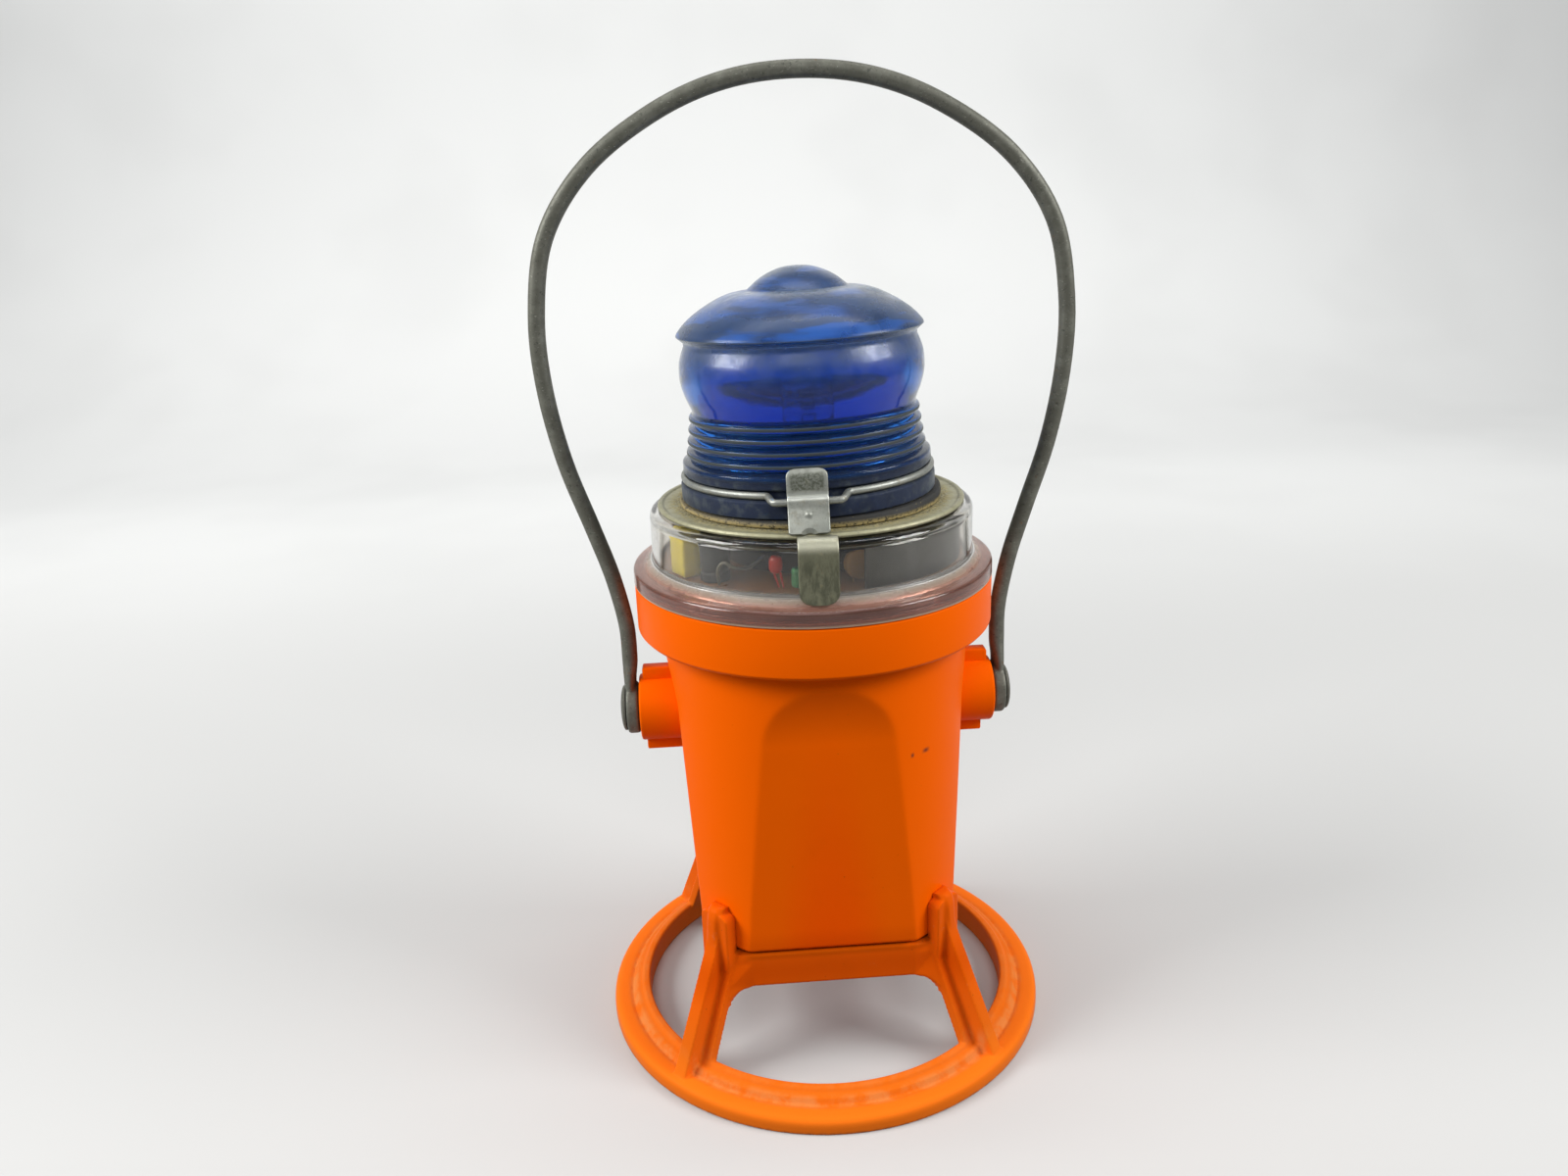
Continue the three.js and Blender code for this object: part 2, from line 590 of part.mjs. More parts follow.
function lampBulb() {
  const globe = circle(0, 199.5, 7.6, 6, -62 * RAD, Math.PI / 2).slice(0, -1);
  return turned([[0, 176.3], [5, 177], [5, 188], [4.2, 189.5], ...globe, [0, 207.1]], 16);
}

// Where a part stands on the board: azimuth from the front towards +X.
function at(azimuth, r, z = 0) {
  return [r * Math.sin(azimuth * RAD), -r * Math.cos(azimuth * RAD), z];
}

function stood(geometry, azimuth, r) {
  return geometry.rotateZ(azimuth * RAD).translate(...at(azimuth, r));
}

function filmCapacitor() {
  const geometry = plate(roundedBlock(7.8, 5.6), ON_BOARD, 11.4);
  return stood(geometry, -61.5, 41.2);
}

function roundedBlock(width, depth) {
  const [x, y, c] = [width / 2, depth / 2, 0.8];
  return [[x - c, -y], [x, -y + c], [x, y - c], [x - c, y], [-x + c, y], [-x, y - c], [-x, -y + c], [-x + c, -y]];
}

function canCapacitor() {
  const [r, top] = [4, 165];
  const profile = [[0, ON_BOARD], [r, ON_BOARD], [r, top - 0.5], [r - 0.5, top], [0, top]];
  return stood(turned(profile, 16), -47.5, 38.6);
}

// Body on two wire legs, which may come together and lean to one side below.
function onLegs(body, spread, height, foot = [spread, 0]) {
  const [footSpread, lean] = foot;
  const legs = [1, -1].map((side) => solid(tube([[side * footSpread + lean, 0, ON_BOARD],
    [side * spread, 0, height]], LEG_WIRE_R, 6, 1)));
  return shapeOf(joined([solid(body), ...legs]));
}

function beadCapacitor() {
  const bead = new THREE.SphereGeometry(2.1, 10, 7).scale(1, 0.85, 1.25).translate(0, 0, 159.4);
  return stood(onLegs(bead, 1, 158.4, [0.6, 1.4]), -19, 38.5);
}

function resistor() {
  const body = turned([[0, 153.4], [1.6, 153.4], [2.1, 154], [2.1, 158], [1.6, 158.6], [0, 158.6]], 14);
  return stood(onLegs(body, 0.6, 156), -9.7, 38.5);
}

function discCapacitor() {
  const disc = turned([[0, -1.1], [3.9, -1.1], [4.6, -0.4], [4.6, 0.4], [3.9, 1.1], [0, 1.1]], 18);
  disc.rotateX(Math.PI / 2).translate(0, 0, 158.4);
  return stood(onLegs(disc, 2, 156), 16, 36.5);
}

function lampLead() {
  return tube([at(-41, 42, ON_BOARD), at(-40.8, 42.4, 157.4), at(-37.6, 42.6, 159.8), at(-34.6, 41.4, 158.4),
    at(-33.4, 36, 156.8), at(-33, 30, 157.6), at(-33, MODULE_R + GAP, 158.6)], LEAD_R, 6, 20);
}

function shieldBand() {
  return sector(42.7, 43.8, ON_BOARD, 164.6, -90 * RAD + 82 * RAD, 136 * RAD, 16);
}

function centreContact() {
  return turned([[0, 150.1], [5.5, 150.1], [6.5, BOARD_BOTTOM - GAP], [0, BOARD_BOTTOM - GAP]], FINE_ROUND);
}

// Short arc of brass that leaves the corner spring when the head is turned.
function arcContact() {
  const reach = CORNER_SPRING_XY * Math.SQRT2;
  return sector(reach - 3.5, reach + 3.5, 150.1, BOARD_BOTTOM - GAP, -45 * RAD, 34 * RAD, 6);
}

// ------------------------------------------------------------------ assembly

const lantern = new THREE.Group();

add(lantern, 'stand', shapeOf(stand()), STAND_ORANGE);
add(lantern, 'case', shapeOf(caseShell()), ORANGE);
add(lantern, 'battery', closed(battery()), BATTERY_WRAP);
add(lantern, 'battery_spring_centre', closed(terminalSpring(0, 0)), BRASS);
add(lantern, 'battery_spring_corner', closed(terminalSpring(CORNER_SPRING_XY, -CORNER_SPRING_XY)), BRASS);
for (const [side, label] of [[1, 'right'], [-1, 'left']]) {
  add(lantern, `bail_rivet_${label}`, closed(rivet(side)), WEATHERED_STEEL);
  add(lantern, `rivet_burr_${label}`, closed(burr(side)), ZINC);
}
add(lantern, 'bail', shapeOf(bail()), WEATHERED_STEEL);

const head = new THREE.Group();
lantern.add(head);
add(head, 'cover_gasket', closed(coverGasket()), GREY_RUBBER);
add(head, 'clear_cover', shapeOf(clearCover()), CLEAR);
add(head, 'seat_ring', shapeOf(seatRing()), DIRTY_ZINC);
add(head, 'lens_gasket', shapeOf(lensGasket()), BLACK_RUBBER);
add(head, 'circuit_board', closed(board()), BOARD_BROWN);
add(head, 'board_ring', closed(boardRing()), BLACK_PLASTIC);
add(head, 'flasher_module', closed(flasherModule()), BLACK_PLASTIC);
add(head, 'shield_band', closed(shieldBand()), DARK_SHIELD);
add(head, 'lamp_socket', closed(lampSocket()), BLACK_PLASTIC);
add(head, 'lamp_bulb', closed(lampBulb()), BULB_GLASS);
add(head, 'film_capacitor', closed(filmCapacitor()), YELLOW);
add(head, 'can_capacitor', closed(canCapacitor()), BLACK_PLASTIC);
add(head, 'bead_capacitor', closed(beadCapacitor()), RED);
add(head, 'resistor', closed(resistor()), GREEN);
add(head, 'disc_capacitor', closed(discCapacitor()), TAN);
add(head, 'lamp_lead', closed(lampLead()), LEAD);
add(head, 'contact_centre', closed(centreContact()), BRASS);
add(head, 'contact_arc', closed(arcContact()), BRASS);

const lensUnit = new THREE.Group();
lensUnit.applyMatrix4(lensTurn());
head.add(lensUnit);
add(lensUnit, 'lens', closed(turned(lensProfile(), 30)), BLUE_GLASS);
add(lensUnit, 'lens_wire', closed(retainingWire()), ZINC);
add(lensUnit, 'latch', latch(), ZINC);

export default lantern;
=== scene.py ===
# Fine visual model of a portable battery signal lantern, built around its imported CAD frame.
# Shapes are worked out in millimetres and turned into metres as each mesh is made.

import json
import math
from functools import reduce

import bmesh
import bpy
import numpy as np
from mathutils import Matrix, Vector


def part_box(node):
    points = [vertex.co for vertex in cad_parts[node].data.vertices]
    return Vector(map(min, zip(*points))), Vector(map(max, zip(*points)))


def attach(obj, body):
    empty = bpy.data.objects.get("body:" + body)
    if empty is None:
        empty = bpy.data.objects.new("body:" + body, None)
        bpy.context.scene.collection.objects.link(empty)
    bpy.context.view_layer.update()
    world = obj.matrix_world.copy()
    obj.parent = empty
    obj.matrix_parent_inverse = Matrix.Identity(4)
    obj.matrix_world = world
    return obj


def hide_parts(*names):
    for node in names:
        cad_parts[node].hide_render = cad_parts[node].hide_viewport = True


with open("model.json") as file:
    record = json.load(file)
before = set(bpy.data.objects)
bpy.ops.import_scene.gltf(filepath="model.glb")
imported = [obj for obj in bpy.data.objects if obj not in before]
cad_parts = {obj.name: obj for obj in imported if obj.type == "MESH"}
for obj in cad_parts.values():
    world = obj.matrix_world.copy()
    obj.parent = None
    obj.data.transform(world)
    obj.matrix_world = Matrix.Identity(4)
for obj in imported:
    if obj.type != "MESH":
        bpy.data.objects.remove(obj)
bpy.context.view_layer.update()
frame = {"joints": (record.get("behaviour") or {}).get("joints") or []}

# --- the frame

MM = 0.001
DEG = math.pi / 180


def box_mm(node):
    low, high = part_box(node)
    return low / MM, high / MM


def joint(name):
    return next(j for j in frame["joints"] if j["name"] == name)


_, STAND_HIGH = box_mm("stand")
CASE_LOW, CASE_HIGH = box_mm("case")
BAIL_LOW, BAIL_HIGH = box_mm("bail")
BATTERY_LOW, BATTERY_HIGH = box_mm("battery")
COVER_LOW, COVER_HIGH = box_mm("clear_cover")
BOARD_LOW, BOARD_HIGH = box_mm("circuit_board")
_, MODULE_HIGH = box_mm("flasher_module")
SOCKET_LOW, SOCKET_HIGH = box_mm("lamp_socket")
BULB_LOW, BULB_HIGH = box_mm("lamp_bulb")

RING_R = STAND_HIGH.x             # stand
BAND_TOP = CASE_LOW.z + 5.9
BAND_BOTTOM = BAND_TOP - 10.9
BAND_HALF = 39
PRONG_TOP = STAND_HIGH.z

CASE_R = 46                       # round corners of the case
CASE_BOTTOM = BAND_TOP + 0.3
CASE_WALL = 2.2
FLAT_AT_BOTTOM = 38.6
FLAT_SLOPE = 0.051
ARCH_START = CASE_BOTTOM + 67.8
ARCH_TOP = ARCH_START + 19
COLLAR_TOP = CASE_HIGH.z
COLLAR_R = COVER_HIGH.x - 0.1
COLLAR_BOTTOM = COLLAR_TOP - 14.5
PIVOT_Z = joint("bail_swing")["pos_m"][2] / MM
BOSS_R = 10.25
BOSS_END = 54.4
BORE_R = 2.8                      # rivet hole, through the bosses and the eyes
TICK_X = 23.7                     # two short dark marks moulded on the front of the case
TICK_Z = 101.8

EYE_R = PIVOT_Z - BAIL_LOW.z      # bail
EYE_X = 56.7
EYE_THICK = 3.8
WIRE_R = 2.4
CROWN_Z = BAIL_HIGH.z - WIRE_R

FLANGE_BOTTOM = COLLAR_TOP + 1.6  # clear head
LIP_BOTTOM = COLLAR_TOP + 0.3
ROOF = COVER_HIGH.z
COVER_R = 47.4
SEAT_TOP = ROOF + 1.1
STRAP_HALF = 5.3
STRAP_TURN = -2.5                 # degrees from the front

HINGE_Y = 39.4                    # lens wire, in the lens's own frame
HINGE_Z = 176.7
LENS_BASE = 171.3
LENS_TOP = 234.5
LATCH_HALF = 5.45
RIB_Z = 184.5                     # crest of the lowest of the four upper ribs
RIB_PITCH = 3.23
ON_BOARD = BOARD_HIGH.z + 0.3     # feet of the electronic parts


def lens_frame():
    """The leaning frame of the lens, from the hinge that it tilts on."""
    hinge = joint("lens_tilt")
    x_axis = -Vector(hinge["axis"]).normalized()
    y_axis = Vector((-x_axis.y, x_axis.x, 0)).normalized()
    turn = Matrix((x_axis, y_axis, x_axis.cross(y_axis))).transposed()
    foot = Vector(hinge["pos_m"]) / MM - turn @ Vector((0, HINGE_Y, HINGE_Z - LENS_BASE))
    return Matrix.Translation(foot) @ turn.to_4x4() @ Matrix.Translation((0, 0, -LENS_BASE))


LENS_FRAME = lens_frame()
AT_PIVOT = Matrix.Translation((0, 0, PIVOT_Z))

# --- shape tools


def arc(x, y, r, start, end, steps):
    """Points of an arc, with its angles in degrees."""
    angles = np.linspace(start, end, steps + 1) * DEG
    return [(x + r * math.cos(a), y + r * math.sin(a)) for a in angles]


def rounded(points, radius, closed=True, steps=4):
    """A polyline whose corners are rounded off, by one radius or by a list of them."""
    count = len(points)
    radii = radius if isinstance(radius, (list, tuple)) else [radius] * count
    result = []
    for i, (point, r) in enumerate(zip(points, radii)):
        if r <= 0 or (not closed and i in (0, count - 1)):
            result.append(tuple(point))
            continue
        here = np.array(point, float)
        before = np.array(points[i - 1], float) - here
        after = np.array(points[(i + 1) % count], float) - here
        to_before = before / np.linalg.norm(before)
        to_after = after / np.linalg.norm(after)
        half = math.acos(np.clip(to_before @ to_after, -1, 1)) / 2
        if half > 88 * DEG:
            result.append(tuple(point))
            continue
        back = min(r / math.tan(half), 0.49 * np.linalg.norm(before), 0.49 * np.linalg.norm(after))
        start = here + to_before * back
        end = here + to_after * back
        for t in np.linspace(0, 1, steps + 1):
            result.append(tuple((1 - t) ** 2 * start + 2 * t * (1 - t) * here + t ** 2 * end))
    return result


def through(points, per=6):
    """A smooth open curve through the points (Catmull-Rom)."""
    p = np.array(points, float)
    p = np.vstack([2 * p[0] - p[1], p, 2 * p[-1] - p[-2]])
    result = []
    for i in range(1, len(p) - 2):
        for t in np.arange(per) / per:
            result.append(0.5 * (2 * p[i] + (p[i + 1] - p[i - 1]) * t
                                 + (2 * p[i - 1] - 5 * p[i] + 4 * p[i + 1] - p[i + 2]) * t ** 2
                                 + (3 * p[i] - p[i - 1] - 3 * p[i + 1] + p[i + 2]) * t ** 3))
    result.append(p[-2])
    return result


def spaced(points, step):
    """The polyline's points again, evenly spaced along its length."""
    p = np.array(points, float)
    lengths = np.concatenate([[0], np.cumsum(np.linalg.norm(np.diff(p, axis=0), axis=1))])
    count = max(2, int(round(lengths[-1] / step)) + 1)
    wanted = np.linspace(0, lengths[-1], count)
    return np.column_stack([np.interp(wanted, lengths, p[:, i]) for i in range(p.shape[1])])


def placed(name, data):
    """A new object in the scene."""
    thing = bpy.data.objects.new(name, data)
    bpy.context.scene.collection.objects.link(thing)
    return thing


def skin(rings, joined=False):
    """A closed mesh object through rings of equally many points, in millimetres."""
    rings = np.asarray(rings, float)
    count, size = rings.shape[:2]
    faces = []
    for i in range(count if joined else count - 1):
        a = i * size
        b = (i + 1) % count * size
        faces += [(a + j, a + (j + 1) % size, b + (j + 1) % size, b + j) for j in range(size)]
    if not joined:
        faces.append(tuple(range(size)))
        faces.append(tuple(range((count - 1) * size, count * size)))
    mesh = bpy.data.meshes.new("part")
    mesh.from_pydata((rings.reshape(-1, 3) * MM).tolist(), [], faces)
    made = bmesh.new()
    made.from_mesh(mesh)
    bmesh.ops.remove_doubles(made, verts=made.verts, dist=1e-7)
    bmesh.ops.recalc_face_normals(made, faces=made.faces)
    made.to_mesh(mesh)
    made.free()
    return placed("part", mesh)


def spun(profile, facets=160):
    """A profile of (radius, height) turned round Z. It is closed, or runs from axis to axis."""
    angles = np.arange(facets) * 2 * math.pi / facets
    return skin([[(r * math.cos(a), r * math.sin(a), z) for r, z in profile] for a in angles], joined=True)


def turned(profile, radii, facets):
    """A profile with its corners rounded off, turned round Z."""
    return spun(rounded(profile, radii), facets)


def slab(outline, z0, z1, edge=0.3, steps=2):
    """A flat outline of (x, y) points raised from z0 to z1, with its edges softened by scaling in."""
    flat = np.array(outline, float)
    normal = np.roll(flat, -1, axis=0) - np.roll(flat, 1, axis=0)
    inward = np.column_stack([-normal[:, 1], normal[:, 0]])
    inward /= np.linalg.norm(inward, axis=1)[:, None]
    area = np.sum(flat[:, 0] * np.roll(flat[:, 1], -1) - np.roll(flat[:, 0], -1) * flat[:, 1])
    inward *= math.copysign(1, area)
    rings = []
    turns = np.linspace(0, 90, steps + 1) * DEG
    for turn in turns:
        rings.append((1 - math.sin(turn), z0 + edge * (1 - math.cos(turn))))
    for turn in turns[::-1]:
        rings.append((1 - math.sin(turn), z1 - edge * (1 - math.cos(turn))))
    return skin([[(x, y, z) for x, y in flat + inward * edge * inset] for inset, z in rings])


def swept(points, section, side=None):
    """A tube along points. section(i) is its (across, out) outline at point i."""
    p = np.array(points, float)
    forward = np.gradient(p, axis=0)
    forward /= np.linalg.norm(forward, axis=1)[:, None]
    across = np.array(side if side is not None else np.cross(forward[0], (0.3, 0.5, 0.8)), float)
    rings = []
    for i, (point, ahead) in enumerate(zip(p, forward)):
        across = across - ahead * (across @ ahead)
        across /= np.linalg.norm(across)
        out = np.cross(across, ahead)
        rings.append([point + across * u + out * v for u, v in section(i)])
    return skin(rings)


def wire(points, r, sides=12):
    """A round wire along points, with its two ends eased."""

    def section(i):
        size = r * (0.7 if i in (0, len(points) - 1) else 1)
        return arc(0, 0, size, 0, 360, sides)[:-1]

    return swept(points, section)


def strap(line, thick, half_width, corners=(0, 0), bump=None, side=(0, 1, 0), columns=20):
    """A sheet metal strip along a line of (reach, height) in the XZ plane, with its ends' corners rounded.
    bump(s, a) moves a point at s along the line and a across it towards the strip's outer side."""
    p = np.array(line, float)
    lengths = np.concatenate([[0], np.cumsum(np.linalg.norm(np.diff(p, axis=0), axis=1))])
    edge = thick * 0.4

    def width(s):
        inset = 0
        for corner, from_end in ((corners[0], s), (corners[1], lengths[-1] - s)):
            if from_end < corner:
                inset = max(inset, corner - math.sqrt(max(corner ** 2 - (corner - from_end) ** 2, 0)))
        return half_width - inset

    def section(i):
        s = lengths[i]
        side_at = width(s) - edge
        up = thick / 2 - edge
        across = np.linspace(side_at, -side_at, columns)
        loop = [(a, thick / 2) for a in across]
        loop += arc(-side_at, up, edge, 90, 180, 3)[1:] + arc(-side_at, -up, edge, 180, 270, 3)[:-1]
        loop += [(a, -thick / 2) for a in across[::-1]]
        loop += arc(side_at, -up, edge, -90, 0, 3)[1:] + arc(side_at, up, edge, 0, 90, 3)[:-1]
        return [(a, o + (bump(s, a) if bump else 0)) for a, o in loop]

    return swept([(x, 0, z) for x, z in p], section, side=side)


def moved(thing, matrix):
    """Moves a mesh by a matrix given in millimetres."""
    scaled = matrix.copy()
    scaled.translation = matrix.translation * MM
    thing.data.transform(scaled)
    return thing


def offset(x, y, z):
    return Matrix.Translation((x, y, z))


def turn_z(degrees):
    return Matrix.Rotation(degrees * DEG, 4, "Z")


def along_x(thing):
    """Lays what was made round Z along X."""
    return moved(thing, Matrix.Rotation(90 * DEG, 4, "Y"))


def cylinder(r, low, high, facets=64):
    return spun([(0, low), (r, low), (r, high), (0, high)], facets)


def settled(thing):
    """Applies the modifiers."""
    graph = bpy.context.evaluated_depsgraph_get()
    mesh = bpy.data.meshes.new_from_object(thing.evaluated_get(graph))
    thing.modifiers.clear()
    thing.data = mesh
    return thing


def combined(first, others, operation):
    """Booleans the others into the first, one by one."""
    for other in others:
        step = first.modifiers.new("combine", "BOOLEAN")
        step.operation = operation
        step.solver = "MANIFOLD"
        step.object = other
        settled(first)
        bpy.data.objects.remove(other)
    return first


def united(parts):
    return combined(parts[0], parts[1:], "UNION")


def less(first, cutters):
    return combined(first, cutters, "DIFFERENCE")


def moulded(thing, voxel, smooth, share):
    """One skin over joined shapes, with every corner softened, as a moulding or casting has."""
    remesh = thing.modifiers.new("remesh", "REMESH")
    remesh.mode = "VOXEL"
    remesh.voxel_size = voxel * MM
    soften = thing.modifiers.new("soften", "SMOOTH")
    soften.factor = 0.5
    soften.iterations = smooth
    thin = thing.modifiers.new("thin", "DECIMATE")
    thin.ratio = share
    return settled(thing)


def piece(thing, name, slot, body="head", stands_for=(), finish=None, crease=38):
    """Names and finishes a piece and fastens it to its CAD body."""
    thing.name = name
    thing.data.name = name
    thing.data.materials.clear()
    thing.data.materials.append(finish or MATERIALS[slot])
    thing.data.shade_smooth()
    thing.data.set_sharp_from_angle(angle=crease * DEG)
    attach(thing, body)
    if stands_for:
        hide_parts(*stands_for)


def fine(thing, node, slot, body="head", **settings):
    """A piece that stands for the CAD node of the same name."""
    piece(thing, f"{node}_fine", slot, body, [node], **settings)


# --- materials


class Paint:
    """A Principled material and the few node helpers that the finishes below share."""

    def __init__(self, name, color, roughness, metallic=0.0, **fixed):
        self.material = bpy.data.materials.new(name)
        self.material.use_nodes = True
        self.tree = self.material.node_tree
        self.shader = self.tree.nodes["Principled BSDF"]
        self.drive("Base Color", (*color, 1))
        self.drive("Roughness", roughness)
        self.drive("Metallic", metallic)
        for socket, value in fixed.items():
            self.drive(socket.replace("_", " "), value)
        self.color = (*color, 1)
        self.rough = roughness
        self.height = None

    def node(self, kind, **settings):
        made = self.tree.nodes.new("ShaderNode" + kind)
        for name, value in settings.items():
            setattr(made, name, value)
        return made

    def feed(self, socket, value):
        if isinstance(value, bpy.types.NodeSocket):
            self.tree.links.new(value, socket)
        else:
            socket.default_value = value

    def drive(self, socket, value):
        self.feed(self.shader.inputs[socket], value)

    def place(self, stretch=(1, 1, 1), shift=(0, 0, 0)):
        """Object coordinates in millimetres."""
        coordinates = self.node("TexCoord").outputs["Object"]
        mapping = self.node("Mapping")
        mapping.inputs["Scale"].default_value = [s / MM for s in stretch]
        mapping.inputs["Location"].default_value = shift
        self.feed(mapping.inputs["Vector"], coordinates)
        return mapping.outputs[0]

    def noise(self, size, detail=4, rough=0.55, stretch=(1, 1, 1), shift=(0, 0, 0)):
        """Noise from 0 to 1 whose blobs are about size millimetres across."""
        made = self.node("TexNoise")
        made.inputs["Scale"].default_value = 1 / size
        made.inputs["Detail"].default_value = detail
        made.inputs["Roughness"].default_value = rough
        self.feed(made.inputs["Vector"], self.place(stretch, shift))
        return made.outputs[0]

    def cells(self, size):
        """Distance from scattered points about size millimetres apart, as a share of size."""
        made = self.node("TexVoronoi")
        made.inputs["Scale"].default_value = 1 / size
        self.feed(made.inputs["Vector"], self.place())
        return made.outputs["Distance"]

    def remap(self, value, low, high, to_low=0.0, to_high=1.0):
        made = self.node("MapRange", interpolation_type="SMOOTHSTEP")
        self.feed(made.inputs["Value"], value)
        for name, number in (("From Min", low), ("From Max", high), ("To Min", to_low), ("To Max", to_high)):
            made.inputs[name].default_value = number
        return made.outputs[0]

    def below(self, value, full, end):
        """1 up to full, falling to 0 at end."""
        return self.remap(value, full, end, 1, 0)

    def patches(self, low, high, size, *noise, **settings):
        """Random patches: 0 where the noise is at low, 1 where it is at high."""
        return self.remap(self.noise(size, *noise, **settings), low, high)

    def dots(self, size, low, high):
        """Scattered dots: 1 up to low from a point, 0 from high on."""
        return self.below(self.cells(size), low, high)

    def math(self, operation, a, b=0.0):
        made = self.node("Math", operation=operation)
        self.feed(made.inputs[0], a)
        self.feed(made.inputs[1], b)
        return made.outputs[0]

    def both(self, *masks):
        return reduce(lambda a, b: self.math("MULTIPLY", a, b), masks)

    def either(self, *masks):
        return reduce(lambda a, b: self.math("MAXIMUM", a, b), masks)

    def coordinate(self, axis):
        made = self.node("SeparateXYZ")
        self.feed(made.inputs[0], self.place())
        return made.outputs[axis]

    def radius(self):
        """Distance from the lantern's axis, in millimetres."""
        flat = self.node("VectorMath", operation="LENGTH")
        self.feed(flat.inputs[0], self.place((1, 1, 0)))
        return flat.outputs["Value"]

    def along(self, turned, axis):
        """A coordinate in a leaning frame, in millimetres."""
        made = self.node("VectorMath", operation="DOT_PRODUCT")
        self.feed(made.inputs[0], self.place(shift=-turned.translation))
        made.inputs[1].default_value = turned.to_3x3().col[axis]
        return made.outputs["Value"]

    def near(self, value, middle, reach):
        """1 where value is at middle, falling to 0 at reach from it."""
        away = self.math("ABSOLUTE", self.math("SUBTRACT", value, middle))
        return self.below(away, 0, reach)

    def between(self, value, start, full, fade, end):
        """1 from full to fade, falling to 0 at start and at end."""
        return self.both(self.remap(value, start, full), self.below(value, fade, end))

    def tint(self, mask, color, strength=1):
        """Lays a colour over what is there, by a mask from 0 to 1."""
        made = self.node("Mix", data_type="RGBA")
        self.feed(made.inputs["Factor"], self.both(mask, strength))
        self.feed(made.inputs[6], self.color)
        self.feed(made.inputs[7], (*color, 1))
        self.color = made.outputs[2]
        self.drive("Base Color", self.color)

    def stain(self, color, strength, low, high, *noise, **settings):
        """Lays a colour over random patches, and returns their mask."""
        mask = self.patches(low, high, *noise, **settings)
        self.tint(mask, color, strength)
        return mask

    def matt(self, mask, roughness):
        made = self.node("Mix", data_type="FLOAT")
        self.feed(made.inputs[0], mask)
        self.feed(made.inputs[2], self.rough)
        self.feed(made.inputs[3], roughness)
        self.rough = made.outputs[0]
        self.drive("Roughness", self.rough)

    def bump(self, height, depth):
        """Raises the surface by up to depth millimetres where height is 1."""
        made = self.node("Bump")
        made.inputs["Strength"].default_value = 1
        made.inputs["Distance"].default_value = depth * MM
        self.feed(made.inputs["Height"], height)
        if self.height is not None:
            self.feed(made.inputs["Normal"], self.height)
        self.height = made.outputs[0]
        self.drive("Normal", self.height)


def moulded_orange(name, color, dusty):
    """Moulded orange plastic: fine skin texture, sun-faded patches, grime specks and pale scuffs."""
    paint = Paint(name, color, 0.4, Specular_IOR_Level=0.05, Specular_Tint=(1, 0.5, 0.14, 1))
    faded = paint.stain(tuple(min(1, c * 1.1) for c in color), 0.3, 0.35, 0.75, 28, 3)
    paint.stain(tuple(c * 0.72 for c in color), 0.18, 0.52, 0.8, 9, 4, shift=(31, 7, 3))
    streaked = 0.06 + 0.12 * dusty
    paint.stain((0.66, 0.30, 0.10), streaked, 0.62, 0.78, 2.2, 5, 0.6, stretch=(1, 1, 0.12), shift=(5, 9, 1))
    scuffs = paint.both(paint.patches(0.56, 0.72, 1.6, 6, 0.7, shift=(3, 14, 5)),
                        paint.patches(0.52, 0.68, 17, 3, shift=(11, 2, 8)))
    paint.tint(scuffs, (0.64, 0.42, 0.24), 0.08 + 0.4 * dusty)
    specks = paint.both(paint.dots(3.4, 0.05, 0.1),
                        paint.patches(0.55, 0.62, 13, 2, shift=(2, 5, 17)))
    paint.tint(specks, (0.10, 0.035, 0.01), 0.55)
    paint.matt(scuffs, 0.68)
    paint.matt(paint.both(faded, 0.5), 0.5)
    paint.bump(paint.noise(0.35, 2), 0.012)
    paint.bump(paint.noise(14, 2), 0.10)
    return paint


def case_plastic():
    paint = moulded_orange("case_plastic", (0.88, 0.087, 0.0), 0.0)
    # Painted light: the round corners are tinted a yellower orange than the flats, the tone of the lit
    # corners.
    paint.tint(paint.remap(paint.radius(), 38, 43), (0.89, 0.126, 0.0), 0.8)
    z = paint.coordinate(2)
    # Dark grime and painted shade along the joint over the stand's band and under the overhang of the collar.
    seam_grime_and_shade = paint.either(paint.near(z, CASE_BOTTOM, 1.6), paint.near(z, COLLAR_BOTTOM - 0.4, 1.1))
    grime = paint.both(seam_grime_and_shade, paint.patches(0.3, 0.75, 3, 4))
    paint.tint(grime, (0.20, 0.045, 0.01), 0.55)
    x = paint.coordinate(0)
    marks = paint.either(paint.near(x, TICK_X, 0.8), paint.near(x, TICK_X + 4.3, 1.6))
    front = paint.below(paint.coordinate(1), -12, -10)
    marks = paint.both(marks, front, paint.near(z, TICK_Z, 1.1))
    paint.tint(marks, (0.10, 0.03, 0.02), 0.9)
    return paint.material


